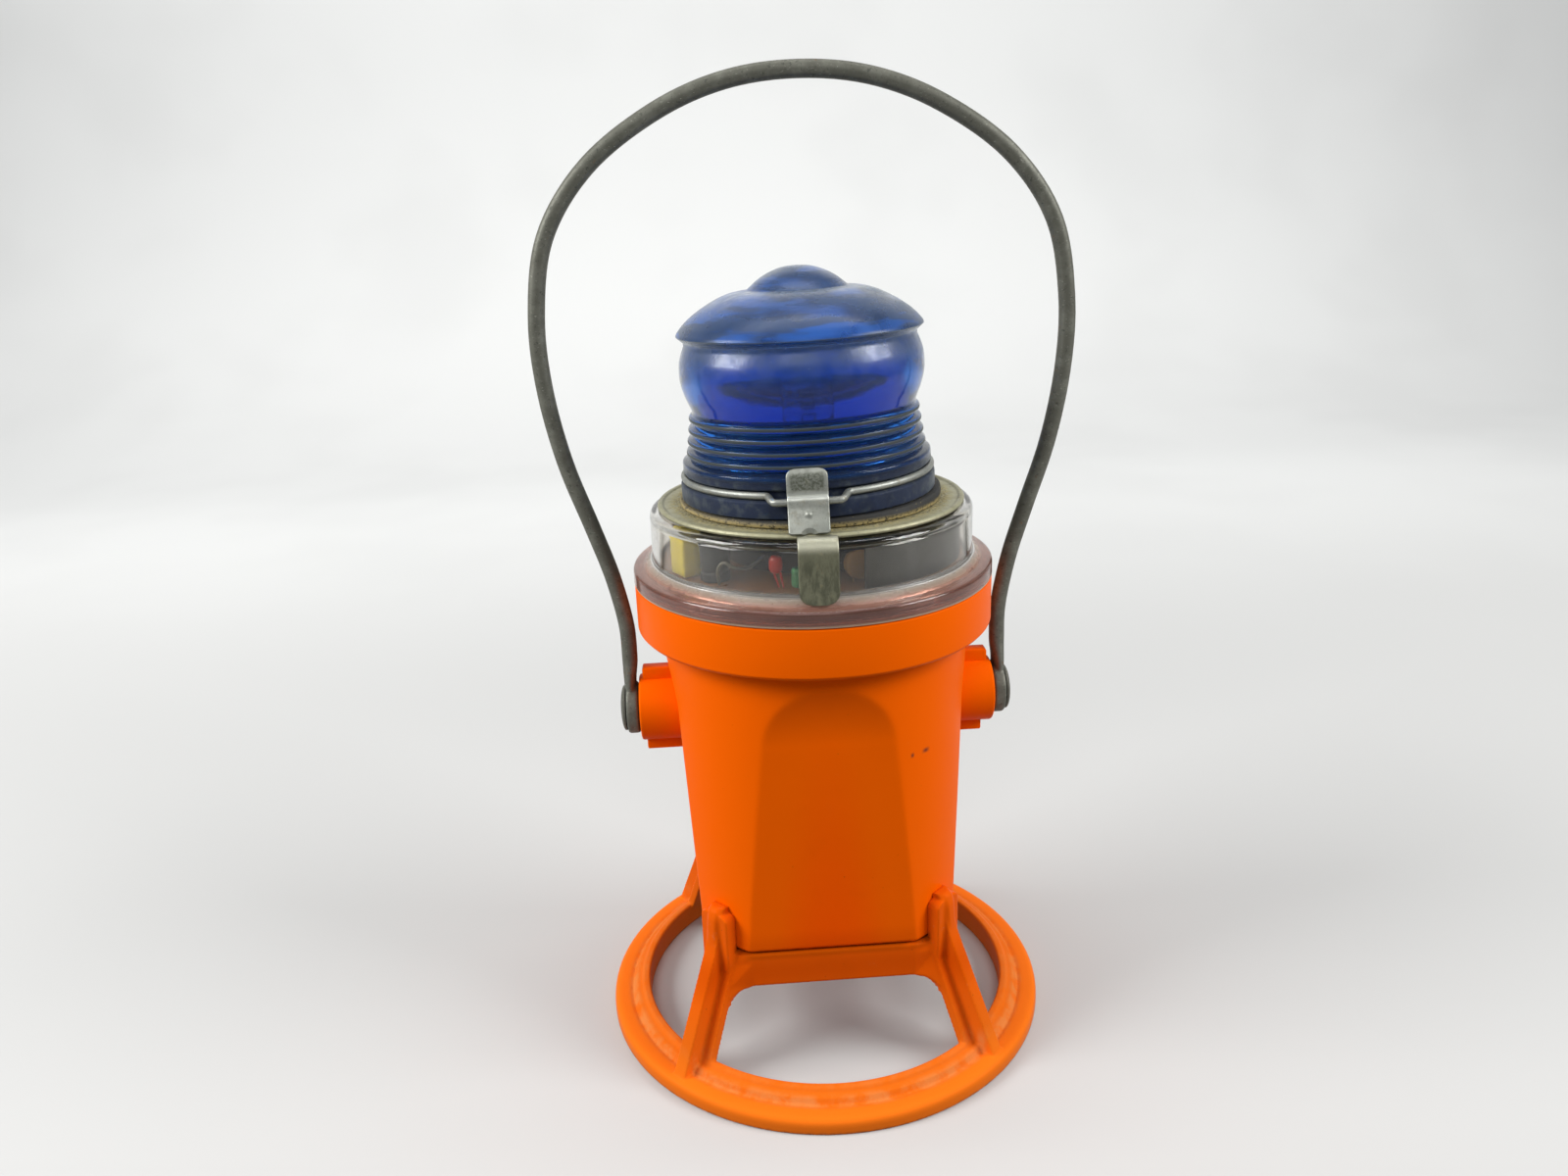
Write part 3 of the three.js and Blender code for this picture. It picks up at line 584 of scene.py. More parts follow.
def stand_plastic():
    # Painted shade: the base colour is a darker, redder orange for the band under the case. Painted light:
    # the ring and legs below are tinted a lighter, yellower orange.
    paint = moulded_orange("stand_plastic", (0.72, 0.098, 0.002), 0.2)
    lit_lower_stand = paint.below(paint.coordinate(2), 5, 34)
    paint.tint(lit_lower_stand, (0.68, 0.135, 0.008), 0.85)
    shaded = paint.near(paint.coordinate(2), BAND_TOP - 6, 9)
    paint.tint(shaded, (0.50, 0.052, 0.0), 0.45)
    # Painted highlight: the outer band of the ring is tinted a lighter orange.
    paint.tint(paint.both(lit_lower_stand, paint.remap(paint.radius(), 64, 67, 0, 0.6)), (0.86, 0.175, 0.01))
    r = paint.radius()
    z = paint.coordinate(2)
    groove = paint.either(paint.near(r, 63.8, 2.6), paint.both(paint.near(r, 60, 2), 0.4))
    low = paint.below(z, 9, 14)
    dust = paint.both(groove, low, paint.patches(0.36, 0.62, 7, 5, 0.65, shift=(4, 4, 9)))
    paint.tint(dust, (0.62, 0.27, 0.085), 0.5)
    # Dark grime and painted shade along the top edge of the band, under the case.
    seam_grime_and_shade = paint.both(paint.near(z, BAND_TOP + 0.5, 3), paint.remap(paint.noise(6, 4), 0.2, 0.55, 0.5, 1))
    inside = paint.below(r, 46.5, 48)
    paint.tint(paint.both(seam_grime_and_shade, inside), (0.26, 0.04, 0.0), 0.8)
    foot = paint.both(paint.below(z, 0, 1.6), paint.patches(0.35, 0.7, 2, 3))
    paint.tint(foot, (0.16, 0.07, 0.035), 0.6)
    paint.matt(dust, 0.75)
    return paint.material


def clear_plastic():
    """Clear plastic, frosted on the flange, with grime along its edges. The flange carries a painted
    reflection of the orange collar, and the inner step at the board is painted near-black as painted shade.
    """
    paint = Paint("clear_plastic", (0.93, 0.91, 0.86), 0.06, IOR=1.49, Transmission_Weight=1.0)
    z = paint.coordinate(2)
    flange = paint.below(z, FLANGE_BOTTOM + 3.6, FLANGE_BOTTOM + 5.6)
    outside = paint.remap(paint.radius(), COVER_R - 0.4, COVER_R + 0.4)
    film = paint.patches(0.45, 0.8, 9, 4, 0.5, stretch=(1, 1, 0.4))
    soft = paint.remap(paint.noise(14, 3, 0.5, stretch=(1, 1, 3)), 0.3, 0.7, 0.6, 1)
    # Painted reflection: the flange is tinted the red-brown of the orange collar seen through it.
    paint.tint(flange, (0.62, 0.21, 0.13), 0.85)
    specks = paint.dots(2.2, 0.04, 0.08)
    uneven = paint.remap(paint.noise(4, 3), 0.2, 0.55, 0.5, 1)
    grime = paint.both(paint.near(z, FLANGE_BOTTOM + 4.6, 2.2), uneven)
    rim = paint.both(paint.near(z, LIP_BOTTOM, 1.1), outside)
    # Painted shade: a near-black band inside the cover along its step at the board.
    step = paint.both(paint.near(z, ON_BOARD, 0.6), paint.below(paint.radius(), 47.2, 48.4))
    frosted = paint.both(flange, outside, soft, 0.16)
    cloudy = paint.either(paint.both(film, 0.03), frosted)
    # Specks and grime are dirt; the step is painted shade.
    dirt_and_shade = paint.either(paint.both(specks, 0.3), paint.both(grime, 0.8), paint.both(rim, 0.85))
    dirt_and_shade = paint.either(dirt_and_shade, step)
    paint.tint(dirt_and_shade, (0.22, 0.175, 0.12))
    paint.tint(rim, (0.50, 0.38, 0.27))
    paint.tint(step, (0.03, 0.025, 0.02))
    paint.drive("Specular IOR Level", paint.remap(dirt_and_shade, 0.1, 0.7, 0.5, 0.12))
    haze = paint.either(cloudy, dirt_and_shade)
    paint.drive("Transmission Weight", paint.math("SUBTRACT", 1.0, haze))
    paint.matt(flange, 0.13)
    paint.matt(paint.either(paint.both(film, 0.5), dirt_and_shade), 0.35)
    paint.bump(paint.noise(16, 2, stretch=(1, 1, 0.5)), 0.02)
    return paint.material


def blue_glass():
    """Cobalt glass under a grey film, thick on the top, on the crests of the ribs and round the foot."""
    paint = Paint("blue_glass", (0.010, 0.15, 0.62), 0.07, IOR=1.5, Transmission_Weight=1.0,
                  Specular_Tint=(0.3, 0.33, 0.35, 1), Sheen_Weight=0.28, Sheen_Roughness=0.4,
                  Sheen_Tint=(0.60, 0.66, 0.60, 1))
    z = paint.along(LENS_FRAME, 2)
    cloudy = paint.remap(paint.noise(8, 4, 0.5), 0.3, 0.7, 0.75, 1.2)
    strokes = paint.remap(paint.noise(9, 3, 0.5, stretch=(0.4, 0.4, 3)), 0.3, 0.68, 0.35, 1.1)
    phase = paint.both(paint.math("SUBTRACT", z, RIB_Z + 0.15), 2 * math.pi / RIB_PITCH)
    crest = paint.remap(paint.math("COSINE", phase), 0.45, 0.95)
    ribbed = paint.between(z, RIB_Z - 2, RIB_Z - 1.4, RIB_Z + 10.8, RIB_Z + 11.6)
    ribs = paint.both(crest, ribbed, 0.8)
    dome = paint.remap(z, LENS_BASE + 44.4, LENS_BASE + 45.6)
    brim = paint.remap(paint.radius(), 20, 33, 0, 1.1)
    top = paint.both(dome, paint.either(strokes, brim), 0.4)
    shoulder = paint.both(paint.remap(z, LENS_BASE + 31, LENS_BASE + 43), 0.3)
    foot = paint.both(paint.below(z, LENS_BASE + 7.6, LENS_BASE + 11.6), 0.8)
    film = paint.both(paint.either(top, shoulder, foot, 0.03), cloudy)
    specks = paint.both(paint.dots(1.5, 0.05, 0.1), paint.patches(0.5, 0.6, 9, 2))
    haze = paint.either(film, ribs, paint.both(specks, 0.4))
    # Painted light: the rib band is tinted a lighter, clearer blue than the rest of the glass, so the grooves
    # read lighter.
    paint.tint(ribbed, (0.02, 0.24, 0.95))
    paint.tint(paint.remap(haze, 0, 0.55), (0.085, 0.12, 0.14))
    paint.tint(dome, (0.03, 0.075, 0.20), 0.9)
    paint.tint(paint.both(dome, paint.remap(strokes, 0.45, 0.8, 0.75, 0)), (0.02, 0.15, 0.60))
    paint.tint(ribs, (0.05, 0.052, 0.047))
    paint.tint(paint.remap(foot, 0, 0.5), (0.016, 0.024, 0.06))
    dusty = paint.remap(paint.noise(3.5, 5, 0.6), 0.45, 0.75, 0.1, 0.55)
    paint.tint(paint.both(paint.remap(foot, 0, 0.8), dusty), (0.13, 0.15, 0.14))
    dull = paint.either(ribs, foot)
    paint.drive("Specular IOR Level", paint.remap(dull, 0.1, 0.7, 0.5, 0.1))
    glossy = paint.remap(paint.either(dull, top), 0.05, 0.5, 0.9, 0.1)
    paint.drive("Coat Weight", paint.both(paint.remap(z, LENS_BASE + 24, LENS_BASE + 39, 0.08, 0.85), glossy))
    # Painted highlight: a thin pale line along the edge of the brim.
    brim_highlight = paint.near(z, LENS_BASE + 45.9, 0.35)
    paint.tint(brim_highlight, (0.32, 0.36, 0.30), 0.4)
    paint.drive("Transmission Weight", paint.math("SUBTRACT", 1.0, haze))
    paint.matt(haze, 0.6)
    paint.bump(paint.noise(8, 2), 0.09)
    glass = paint.height
    paint.bump(paint.noise(1.7, 4, 0.6, stretch=(1, 1, 0.6)), 0.07)
    paint.drive("Normal", glass)
    paint.drive("Coat Normal", paint.height)
    paint.drive("Coat Roughness", paint.remap(paint.noise(4, 4), 0.4, 0.6, 0.33, 0.55))
    return paint.material


def bulb_glass():
    paint = Paint("bulb_glass", (0.97, 0.97, 0.97), 0.03, IOR=1.5, Transmission_Weight=1.0)
    smoke = paint.stain((0.35, 0.33, 0.30), 0.2, 0.5, 0.85, 5, 3)
    paint.matt(smoke, 0.15)
    return paint.material


def bail_steel():
    """Bare steel wire gone grey-green, with rust freckles."""
    paint = Paint("bail_steel", (0.105, 0.105, 0.083), 0.52, 0.45)
    paint.stain((0.18, 0.182, 0.15), 0.6, 0.42, 0.72, 5, 5, 0.6)
    paint.stain((0.42, 0.42, 0.36), 0.5, 0.64, 0.7, 0.5, 3, 0.6, stretch=(0.5, 1, 1.6), shift=(2, 2, 5))
    dark = paint.stain((0.04, 0.042, 0.036), 0.65, 0.56, 0.68, 1.1, 5, 0.7, shift=(4, 9, 1))
    rust = paint.stain((0.20, 0.10, 0.045), 0.6, 0.62, 0.72, 4.5, 6, 0.7, shift=(8, 2, 2))
    paint.matt(dark, 0.75)
    paint.matt(rust, 0.85)
    paint.bump(paint.noise(0.9, 6, 0.7), 0.05)
    return paint.material


def worn_zinc(name, color, dirt):
    """Dull zinc plate, with dark pitting and yellow-brown dirt."""
    paint = Paint(name, color, 0.42, 0.75)
    cloudy = paint.stain(tuple(c * 0.55 for c in color), 0.55, 0.4, 0.75, 3, 5, 0.65)
    paint.stain(tuple(c * 0.4 for c in color), 0.4, 0.52, 0.75, 0.8, 5, 0.7, stretch=(1, 1, 0.25))
    pits = paint.stain((0.06, 0.06, 0.05), 0.6, 0.58, 0.68, 0.5, 4, 0.75, shift=(6, 1, 3))
    brown = paint.stain((0.28, 0.21, 0.10), dirt, 0.54, 0.72, 2.4, 6, 0.7, shift=(1, 8, 4))
    paint.matt(pits, 0.75)
    paint.matt(brown, 0.8)
    paint.matt(paint.both(cloudy, 0.5), 0.6)
    paint.bump(paint.noise(0.6, 5, 0.7), 0.05)
    return paint


def seat_zinc():
    """The seat, with sandy dirt and dark crumbs round the foot of the lens."""
    paint = worn_zinc("seat_zinc", (0.335, 0.32, 0.20), 0.4)
    paint.drive("Metallic", 0.35)
    inner = paint.below(paint.radius(), 39.4, 42.6)
    sand = paint.both(inner, paint.patches(0.38, 0.6, 1.1, 5, 0.7, shift=(7, 3, 1)))
    paint.tint(sand, (0.45, 0.38, 0.18), 0.85)
    crumbs = paint.both(paint.below(paint.radius(), 39, 40.8),
                        paint.patches(0.5, 0.56, 0.6, 4, 0.7, shift=(1, 4, 9)))
    paint.tint(crumbs, (0.07, 0.055, 0.03), 0.85)
    paint.matt(sand, 0.9)
    paint.bump(sand, 0.15)
    return paint.material


def strap_zinc():
    """The strap: a pale painted highlight over its top where it bends, dark and streaked lower down."""
    paint = worn_zinc("strap_zinc", (0.19, 0.19, 0.125), 0.3)
    z = paint.coordinate(2)
    # Painted highlight: the top of the strap, where it bends, is tinted pale.
    bend_highlight = paint.remap(z, SEAT_TOP - 4.2, SEAT_TOP - 1.6)
    paint.tint(bend_highlight, (0.52, 0.51, 0.40), 0.6)
    streaks = paint.patches(0.4, 0.6, 1.3, 5, 0.65, stretch=(1, 1, 0.2), shift=(3, 3, 3))
    lower = paint.below(z, SEAT_TOP - 8, SEAT_TOP - 3)
    paint.tint(paint.both(streaks, lower), (0.08, 0.083, 0.055), 0.75)
    return paint.material


def latch_zinc():
    """The latch: freckled inside the pale rim of its tab, with a pale painted highlight over the wire."""
    paint = worn_zinc("latch_zinc", (0.33, 0.34, 0.30), 0.25)
    z = paint.along(LENS_FRAME, 2)
    x = paint.along(LENS_FRAME, 0)
    across = paint.math("ABSOLUTE", x)
    tab = paint.both(paint.between(z, HINGE_Z + 2.6, HINGE_Z + 3.6, HINGE_Z + 7, HINGE_Z + 8.2),
                     paint.below(across, LATCH_HALF - 1.6, LATCH_HALF - 0.6))
    freckles = paint.remap(paint.noise(0.7, 4, 0.7, shift=(5, 5, 2)), 0.4, 0.6, 0.35, 0.9)
    paint.tint(paint.both(tab, freckles), (0.09, 0.10, 0.07))
    # Painted highlight: a pale band over the top of the bulge round the wire.
    bulge_highlight = paint.near(z, HINGE_Z + 1.7, 1.3)
    paint.tint(bulge_highlight, (0.66, 0.68, 0.62), 0.8)
    paint.matt(bulge_highlight, 0.3)
    leg = paint.both(paint.below(z, HINGE_Z - 1.5, HINGE_Z), paint.remap(x, -3, 4))
    paint.tint(leg, (0.14, 0.15, 0.13), 0.5)
    return paint.material


def brass():
    paint = Paint("spring_brass", (0.62, 0.40, 0.12), 0.3, 0.95)
    tarnish = paint.stain((0.25, 0.16, 0.06), 0.6, 0.45, 0.75, 1.6, 5, 0.6)
    paint.matt(tarnish, 0.6)
    paint.bump(paint.noise(0.5, 4), 0.02)
    return paint.material


def rubber(name, color, chalk):
    paint = Paint(name, color, 0.72)
    chalky = paint.stain(chalk, 0.45, 0.45, 0.75, 2.5, 6, 0.7)
    paint.stain(tuple(c * 0.5 for c in color), 0.4, 0.55, 0.7, 0.7, 4, 0.7, shift=(3, 3, 8))
    grains = paint.both(paint.dots(0.9, 0.14, 0.24),
                        paint.patches(0.45, 0.6, 5, 3, shift=(9, 1, 1)))
    paint.tint(grains, (0.34, 0.26, 0.11), 0.8)
    paint.matt(chalky, 0.9)
    paint.bump(paint.noise(0.8, 5, 0.7), 0.08)
    return paint


def gasket_rubber():
    """Black rubber with sand packed against its foot."""
    paint = rubber("black_rubber", (0.014, 0.014, 0.013), (0.05, 0.045, 0.032))
    foot = paint.below(paint.coordinate(2), SEAT_TOP + 0.5, SEAT_TOP + 2)
    sand = paint.both(foot, paint.patches(0.36, 0.52, 0.8, 5, 0.7, shift=(7, 7, 1)))
    paint.tint(sand, (0.42, 0.33, 0.14), 0.9)
    return paint.material


def plain_plastic(name, color, roughness, dusty):
    paint = Paint(name, color, roughness)
    paint.stain(tuple(min(1, c * 1.4 + 0.02) for c in color), 0.3, 0.45, 0.8, 4, 5, 0.6)
    dust = paint.stain((0.30, 0.27, 0.22), dusty, 0.58, 0.72, 1.1, 5, 0.7, shift=(2, 7, 3))
    paint.matt(dust, 0.8)
    paint.bump(paint.noise(0.5, 3), 0.015)
    return paint.material


def laminate():
    """Brown paper laminate, with the weave of its paper and flux stains."""
    paint = Paint("board_laminate", (0.30, 0.13, 0.035), 0.45)
    grain = paint.stain((0.42, 0.21, 0.07), 0.4, 0.4, 0.7, 0.8, 4, 0.6, stretch=(1, 0.15, 1))
    stain = paint.stain((0.14, 0.055, 0.015), 0.5, 0.5, 0.75, 6, 4, 0.6)
    paint.matt(stain, 0.25)
    paint.bump(grain, 0.01)
    return paint.material


def battery_wrap():
    """Printed steel can of a lantern battery, in two plain bands of colour."""
    paint = Paint("battery_wrap", (0.03, 0.06, 0.13), 0.32, 0.1)
    z = paint.coordinate(2)
    paint.tint(paint.remap(z, BATTERY_LOW.z + 66, BATTERY_LOW.z + 66.3), (0.55, 0.53, 0.48))
    scratches = paint.stain((0.4, 0.4, 0.4), 0.5, 0.6, 0.72, 0.7, 6, 0.7, stretch=(1, 1, 0.08))
    top = paint.remap(z, BATTERY_HIGH.z - 1.4, BATTERY_HIGH.z - 1.2)
    paint.tint(top, (0.02, 0.02, 0.02))
    paint.matt(scratches, 0.6)
    paint.bump(paint.noise(6, 2), 0.05)
    return paint.material


STRAP_ZINC = strap_zinc()
LATCH_ZINC = latch_zinc()
MATERIALS = {
    "case_plastic": case_plastic(),
    "stand_plastic": stand_plastic(),
    "clear_plastic": clear_plastic(),
    "blue_glass": blue_glass(),
    "bulb_glass": bulb_glass(),
    "bail_steel": bail_steel(),
    "zinc": worn_zinc("zinc", (0.30, 0.31, 0.28), 0.4).material,
    "seat_zinc": seat_zinc(),
    "spring_brass": brass(),
    "black_rubber": gasket_rubber(),
    "pale_rubber": rubber("pale_rubber", (0.36, 0.31, 0.24), (0.50, 0.46, 0.38)).material,
    "battery_wrap": battery_wrap(),
    "board_laminate": laminate(),
}
for slot, color, roughness, dusty in (
    ("black_plastic", (0.014, 0.014, 0.013), 0.6, 0.12),
    ("shield_plastic", (0.026, 0.023, 0.017), 0.5, 0.06),
    ("yellow_resin", (0.80, 0.64, 0.05), 0.42, 0.35),
    ("red_resin", (0.52, 0.02, 0.006), 0.3, 0.1),
    ("green_resin", (0.08, 0.32, 0.13), 0.42, 0.35),
    ("tan_resin", (0.36, 0.19, 0.05), 0.42, 0.35),
    ("lead_insulation", (0.17, 0.16, 0.12), 0.42, 0.35),
):
    MATERIALS[slot] = plain_plastic(slot, color, roughness, dusty)

# --- stand


def squared_round(r, flat, z0, z1):
    """A cylinder with four flats."""
    edge = math.acos(min(flat / r, 1)) / DEG
    outline = [p for i in range(4) for p in arc(0, 0, r, 90 * i + edge, 90 * i + 90 - edge, 11)]
    return skin([[(x, y, z) for x, y in outline] for z in (z0, z1)])


def upright(points, thick):
    """A (reach, height) outline standing in the XZ plane."""
    return skin([[(x, y, z) for x, z in points] for y in (-thick / 2, thick / 2)])


def stand_ring():
    inner = RING_R - 12
    top = 8
    profile = rounded(
        [(RING_R, 0), (RING_R, 5), (65.2, 5), (64.3, 4.4), (63, 6.6), (61.5, 6.8), (60.7, top), (inner, top),
         (inner, 0), (inner + 2, 0),
         (inner + 2, top - 2), (61.4, 3.4), (RING_R - 3, 2.8), (RING_R - 2, 0)],
        [0.3, 3.2, 0.8, 0.6, 0.7, 0.4, 0.5, 0.7, 0.3, 0.3, 0.8, 0.8, 0.8, 0.3])
    return spun(profile, 240)


def leg_flange():
    """The sloping plate of a leg."""
    top = Vector((46.4, 0, BAND_TOP - 2))
    foot = Vector((60.4, 0, 4))
    length = (top - foot).length
    half = 5.75
    corners = [(0, half), (length, half), (length, -half), (0, -half)]
    plate = skin([[(x, y, z) for x, y in corners] for z in (-1.5, 1.5)])
    slope = math.atan2(top.z - foot.z, foot.x - top.x)
    turn = Matrix.Translation(foot) @ Matrix.Rotation(slope, 4, "Y") @ Matrix.Rotation(math.pi, 4, "Z")
    return moved(plate, turn)


def leg_gusset():
    """Web that spreads the top of a leg out to the band's flats, with a fillet under the band."""
    drop = 6
    rings = []
    fillet = np.linspace(BAND_BOTTOM - drop, BAND_BOTTOM, 9)
    for z in [*fillet, BAND_BOTTOM + 0.4, BAND_TOP - 3, BAND_TOP - 0.6]:
        lower = min((z - BAND_BOTTOM + drop) / drop, 1)
        wide = 10.3 - 4.55 * math.sqrt(1 - lower ** 2)
        out = 48 + (BAND_TOP - 2 - z) * 0.4255
        side = out + (44.9 - out) * (wide - 5) / 5.3
        back = 3 if z <= BAND_BOTTOM else 7
        rings.append([(side - back, -wide, z), (side, -wide, z), (out, -5, z), (out, 5, z), (side, wide, z),
                      (side - back, wide, z), (out - back, 5, z), (out - back, -5, z)])
    return skin(rings)


def prong():
    """Prong that hugs a round corner of the case: two round-topped shoulders and a low ridge between them."""
    shoulder = PRONG_TOP - 4
    outline = [(5.3, BAND_BOTTOM + 5), *arc(3, shoulder, 2.3, 0, 90, 6),
               *arc(-3, shoulder, 2.3, 90, 180, 6), (-5.3, BAND_BOTTOM + 5)]
    pad = skin([[(x, y, z) for y, z in outline] for x in (44.6, 49.9)])
    levels = ((BAND_TOP - 4, 51.6), (BAND_TOP + 3, 51.6), (PRONG_TOP - 3.4, 50.9), (PRONG_TOP - 1, 50.1),
              (PRONG_TOP, 48.9))
    ridge = skin([[(45, -2.8, z), (out - 1.4, -2.8, z), (out, -1.3, z), (out, 1.3, z), (out - 1.4, 2.8, z),
                   (45, 2.8, z)] for z, out in levels])
    return [pad, ridge]


def stand():
    parts = [stand_ring(), squared_round(CASE_R, BAND_HALF, BAND_BOTTOM, BAND_TOP + 1)]
    for i in range(4):
        outline = [(44.8, BAND_BOTTOM + 3), (44.8, BAND_TOP + 8), (50, BAND_TOP + 8), (52.2, BAND_TOP + 1),
                   (68.6, 4), (67.6, 3.3), (61, 3.3)]
        rib = upright(rounded(outline, [0, 0, 0, 5, 0, 0, 0]), 4.6)
        for part in [leg_flange(), leg_gusset(), rib, *prong()]:
            parts.append(moved(part, turn_z(45 + 90 * i)))
    pocket = FLAT_AT_BOTTOM - 1.4
    whole = less(united(parts), [
        squared_round(CASE_R - 1.6, pocket, BAND_BOTTOM + 2.5, BAND_BOTTOM + 12.5),
        squared_round(CASE_R - 8, pocket - 6, BAND_BOTTOM - 1, BAND_BOTTOM + 7),
        squared_round(CASE_R + 0.1, BAND_HALF + 2, BAND_TOP, BAND_TOP + 40),
    ])
    moulded(whole, 0.42, 3, 0.28)
    fine(whole, "stand", "stand_plastic", "body", crease=60)


# --- case


def flat_distance(z):
    """Distance of a flat from the axis, with its run-out into the round at the arch."""
    if z <= ARCH_START:
        return FLAT_AT_BOTTOM + FLAT_SLOPE * (z - CASE_BOTTOM)
    start = flat_distance(ARCH_START)
    rise = min((z - ARCH_START) / (ARCH_TOP - ARCH_START), 1)
    return math.sqrt(CASE_R ** 2 - (CASE_R ** 2 - start ** 2) * (1 - rise ** 2))


def soft_min(a, b, k):
    h = min(max(0.5 + 0.5 * (b - a) / k, 0), 1)
    return b * (1 - h) + a * h - k * h * (1 - h)


def case_ring(z, inset, soft):
    """One level of the tapered body. Its columns follow the edges of the flats."""
    round_r = CASE_R - inset
    flat = flat_distance(z) - inset
    edge = max(math.acos(min(flat / round_r, 1)), 3 * DEG)
    inner = [0, 0.12, 0.25, 0.38, 0.5, 0.6, 0.7, 0.8, 0.88, 0.93, 0.965, 0.985]
    outer = [0, 0.02, 0.05, 0.1, 0.17, 0.25, 0.33, 0.42, 0.5, 0.6, 0.7, 0.8, 0.9]
    half = [f * edge for f in inner] + [edge + f * (math.pi / 4 - edge) for f in outer]
    ring = []
    for quarter in range(4):
        for phi in [-a for a in half[:0:-1]] + half + [math.pi / 4]:
            r = soft_min(round_r, flat / math.cos(phi), soft)
            angle = phi + quarter * math.pi / 2
            ring.append((r * math.cos(angle), r * math.sin(angle), z))
    return ring


def tapered_body(inset, bottom, top, soft, eased=0.0):
    levels = []
    if eased:
        levels = [(bottom + eased * (1 - math.cos(t * DEG)), inset + eased * (1 - math.sin(t * DEG)))
                  for t in (0, 20, 40, 60)]
    arch = [ARCH_START - 1 + i for i in range(21)]
    heights = [*np.linspace(bottom + eased, ARCH_START - 2, 12), *arch, *np.linspace(ARCH_TOP + 1, top, 3)]
    levels += [(z, inset) for z in heights]
    return skin([case_ring(z, i, soft) for z, i in levels])


def at_boss(thing, side):
    """Turns what lies along +X to its side of the case, and lifts it to the bail's pivot."""
    return moved(thing, AT_PIVOT @ turn_z(0 if side > 0 else 180))


def boss(side):
    """Round boss for the bail's rivet, with a short rib above and below it."""
    barrel = turned([(0, 36), (BOSS_R, 36), (BOSS_R, BOSS_END), (0, BOSS_END)], [0, 0, 0.7, 0], 72)
    parts = [along_x(barrel)]
    for up in (1, -1):
        end = BOSS_END - 1.2 - (1.4 if up < 0 and side > 0 else 0)
        outline = rounded([(36, -2.5), (end, -2.5), (end, 2.5), (36, 2.5)], [0, 0.7, 0.7, 0])
        z0, z1 = sorted((up * 8.5, up * 13.5))
        parts.append(slab(outline, z0, z1, 0.6))
    return [at_boss(part, side) for part in parts]


def sector_solid(r0, r1, z0, z1, middle, span, edge=0.3):
    outline = arc(0, 0, r1, middle - span / 2, middle + span / 2, 24)
    outline += arc(0, 0, r0, middle + span / 2, middle - span / 2, 24)
    return slab(outline, z0, z1, edge)


def case():
    well = COLLAR_R - 2.4
    well_floor = 134.5
    collar = turned([(0, COLLAR_BOTTOM), (COLLAR_R - 0.9, COLLAR_BOTTOM), (COLLAR_R, COLLAR_BOTTOM + 1),
                     (COLLAR_R, COLLAR_TOP), (0, COLLAR_TOP)], [0, 0.5, 0.7, 0.5, 0], 240)
    skirt = squared_round(CASE_R - 1.9, FLAT_AT_BOTTOM - 1.7, CASE_LOW.z, CASE_BOTTOM + 1)
    whole = united([tapered_body(0, CASE_BOTTOM, COLLAR_BOTTOM + 3, 0.5, eased=1.5), collar, skirt,
                    *boss(1), *boss(-1)])
    bore = moved(along_x(cylinder(BORE_R, -60, 60, 32)), AT_PIVOT)
    less(whole, [
        tapered_body(CASE_WALL, CASE_BOTTOM + 2.4, COLLAR_TOP - 10, 0.4),
        cylinder(well, well_floor, COLLAR_TOP + 1, 240),
        squared_round(CASE_R - 3.9, FLAT_AT_BOTTOM - 3.7, CASE_LOW.z - 1, CASE_BOTTOM),
        bore,
    ])
    tabs = [sector_solid(well - 1.05, well + 0.5, COLLAR_TOP - 3, COLLAR_TOP - 0.6, 90 + 120 * i, 38)
            for i in range(3)]
    united([whole, *tabs])
    fine(whole, "case", "case_plastic", "body", crease=32)


# --- bail

BAIL_HALF = [
    (57.1, 4), (57.1, 10), (56.7, 17), (57, 28), (59.9, 43), (64.4, 58), (70.6, 78), (74.3, 99), (74.6, 119),
    (70.2, 140), (57.6, 157.5), (38.8, 170.5), (19.8, 177.8),
]


def bail():
    """Bent wire, flattened out into the two eyes."""
    right = [(x, 0, PIVOT_Z + h) for x, h in BAIL_HALF]
    left = [(-x, 0, z) for x, _, z in reversed(right)]
    line = spaced(through([*right, (0, 0, CROWN_Z), *left], 8), 1.4)
    circle = arc(0, 0, 1, 0, 360, 20)[:-1]

    def section(i):
        low = min(max((PIVOT_Z + 17 - line[i][2]) / 9, 0), 1)
        flat = low * low * (3 - 2 * low)
        return [(x * WIRE_R * (1 - 0.22 * flat), y * WIRE_R * (1 + 0.9 * flat)) for x, y in circle]

    half = EYE_THICK / 2
    parts = [swept(line, section, side=(1, 0, 0))]
    for side in (1, -1):
        eye = along_x(turned([(0, -half), (EYE_R, -half), (EYE_R, half), (0, half)], [0, 0.9, 0.9, 0], 64))
        parts.append(moved(eye, offset(side * EYE_X, 0, PIVOT_Z)))
    whole = united(parts)
    cutters = [along_x(cylinder(BOSS_R + 0.3, half - EYE_X, EYE_X - half))]
    for side in (1, -1):
        near, far = sorted((side * (EYE_X + half), side * (EYE_X + half + 5)))
        cutters.append(along_x(cylinder(7.5, near, far)))
    cutters.append(along_x(cylinder(BORE_R, -70, 70, 32)))
    for cutter in cutters:
        moved(cutter, AT_PIVOT)
    less(whole, cutters)
    moulded(whole, 0.4, 3, 0.45)
    fine(whole, "bail", "bail_steel", "bail", crease=70)


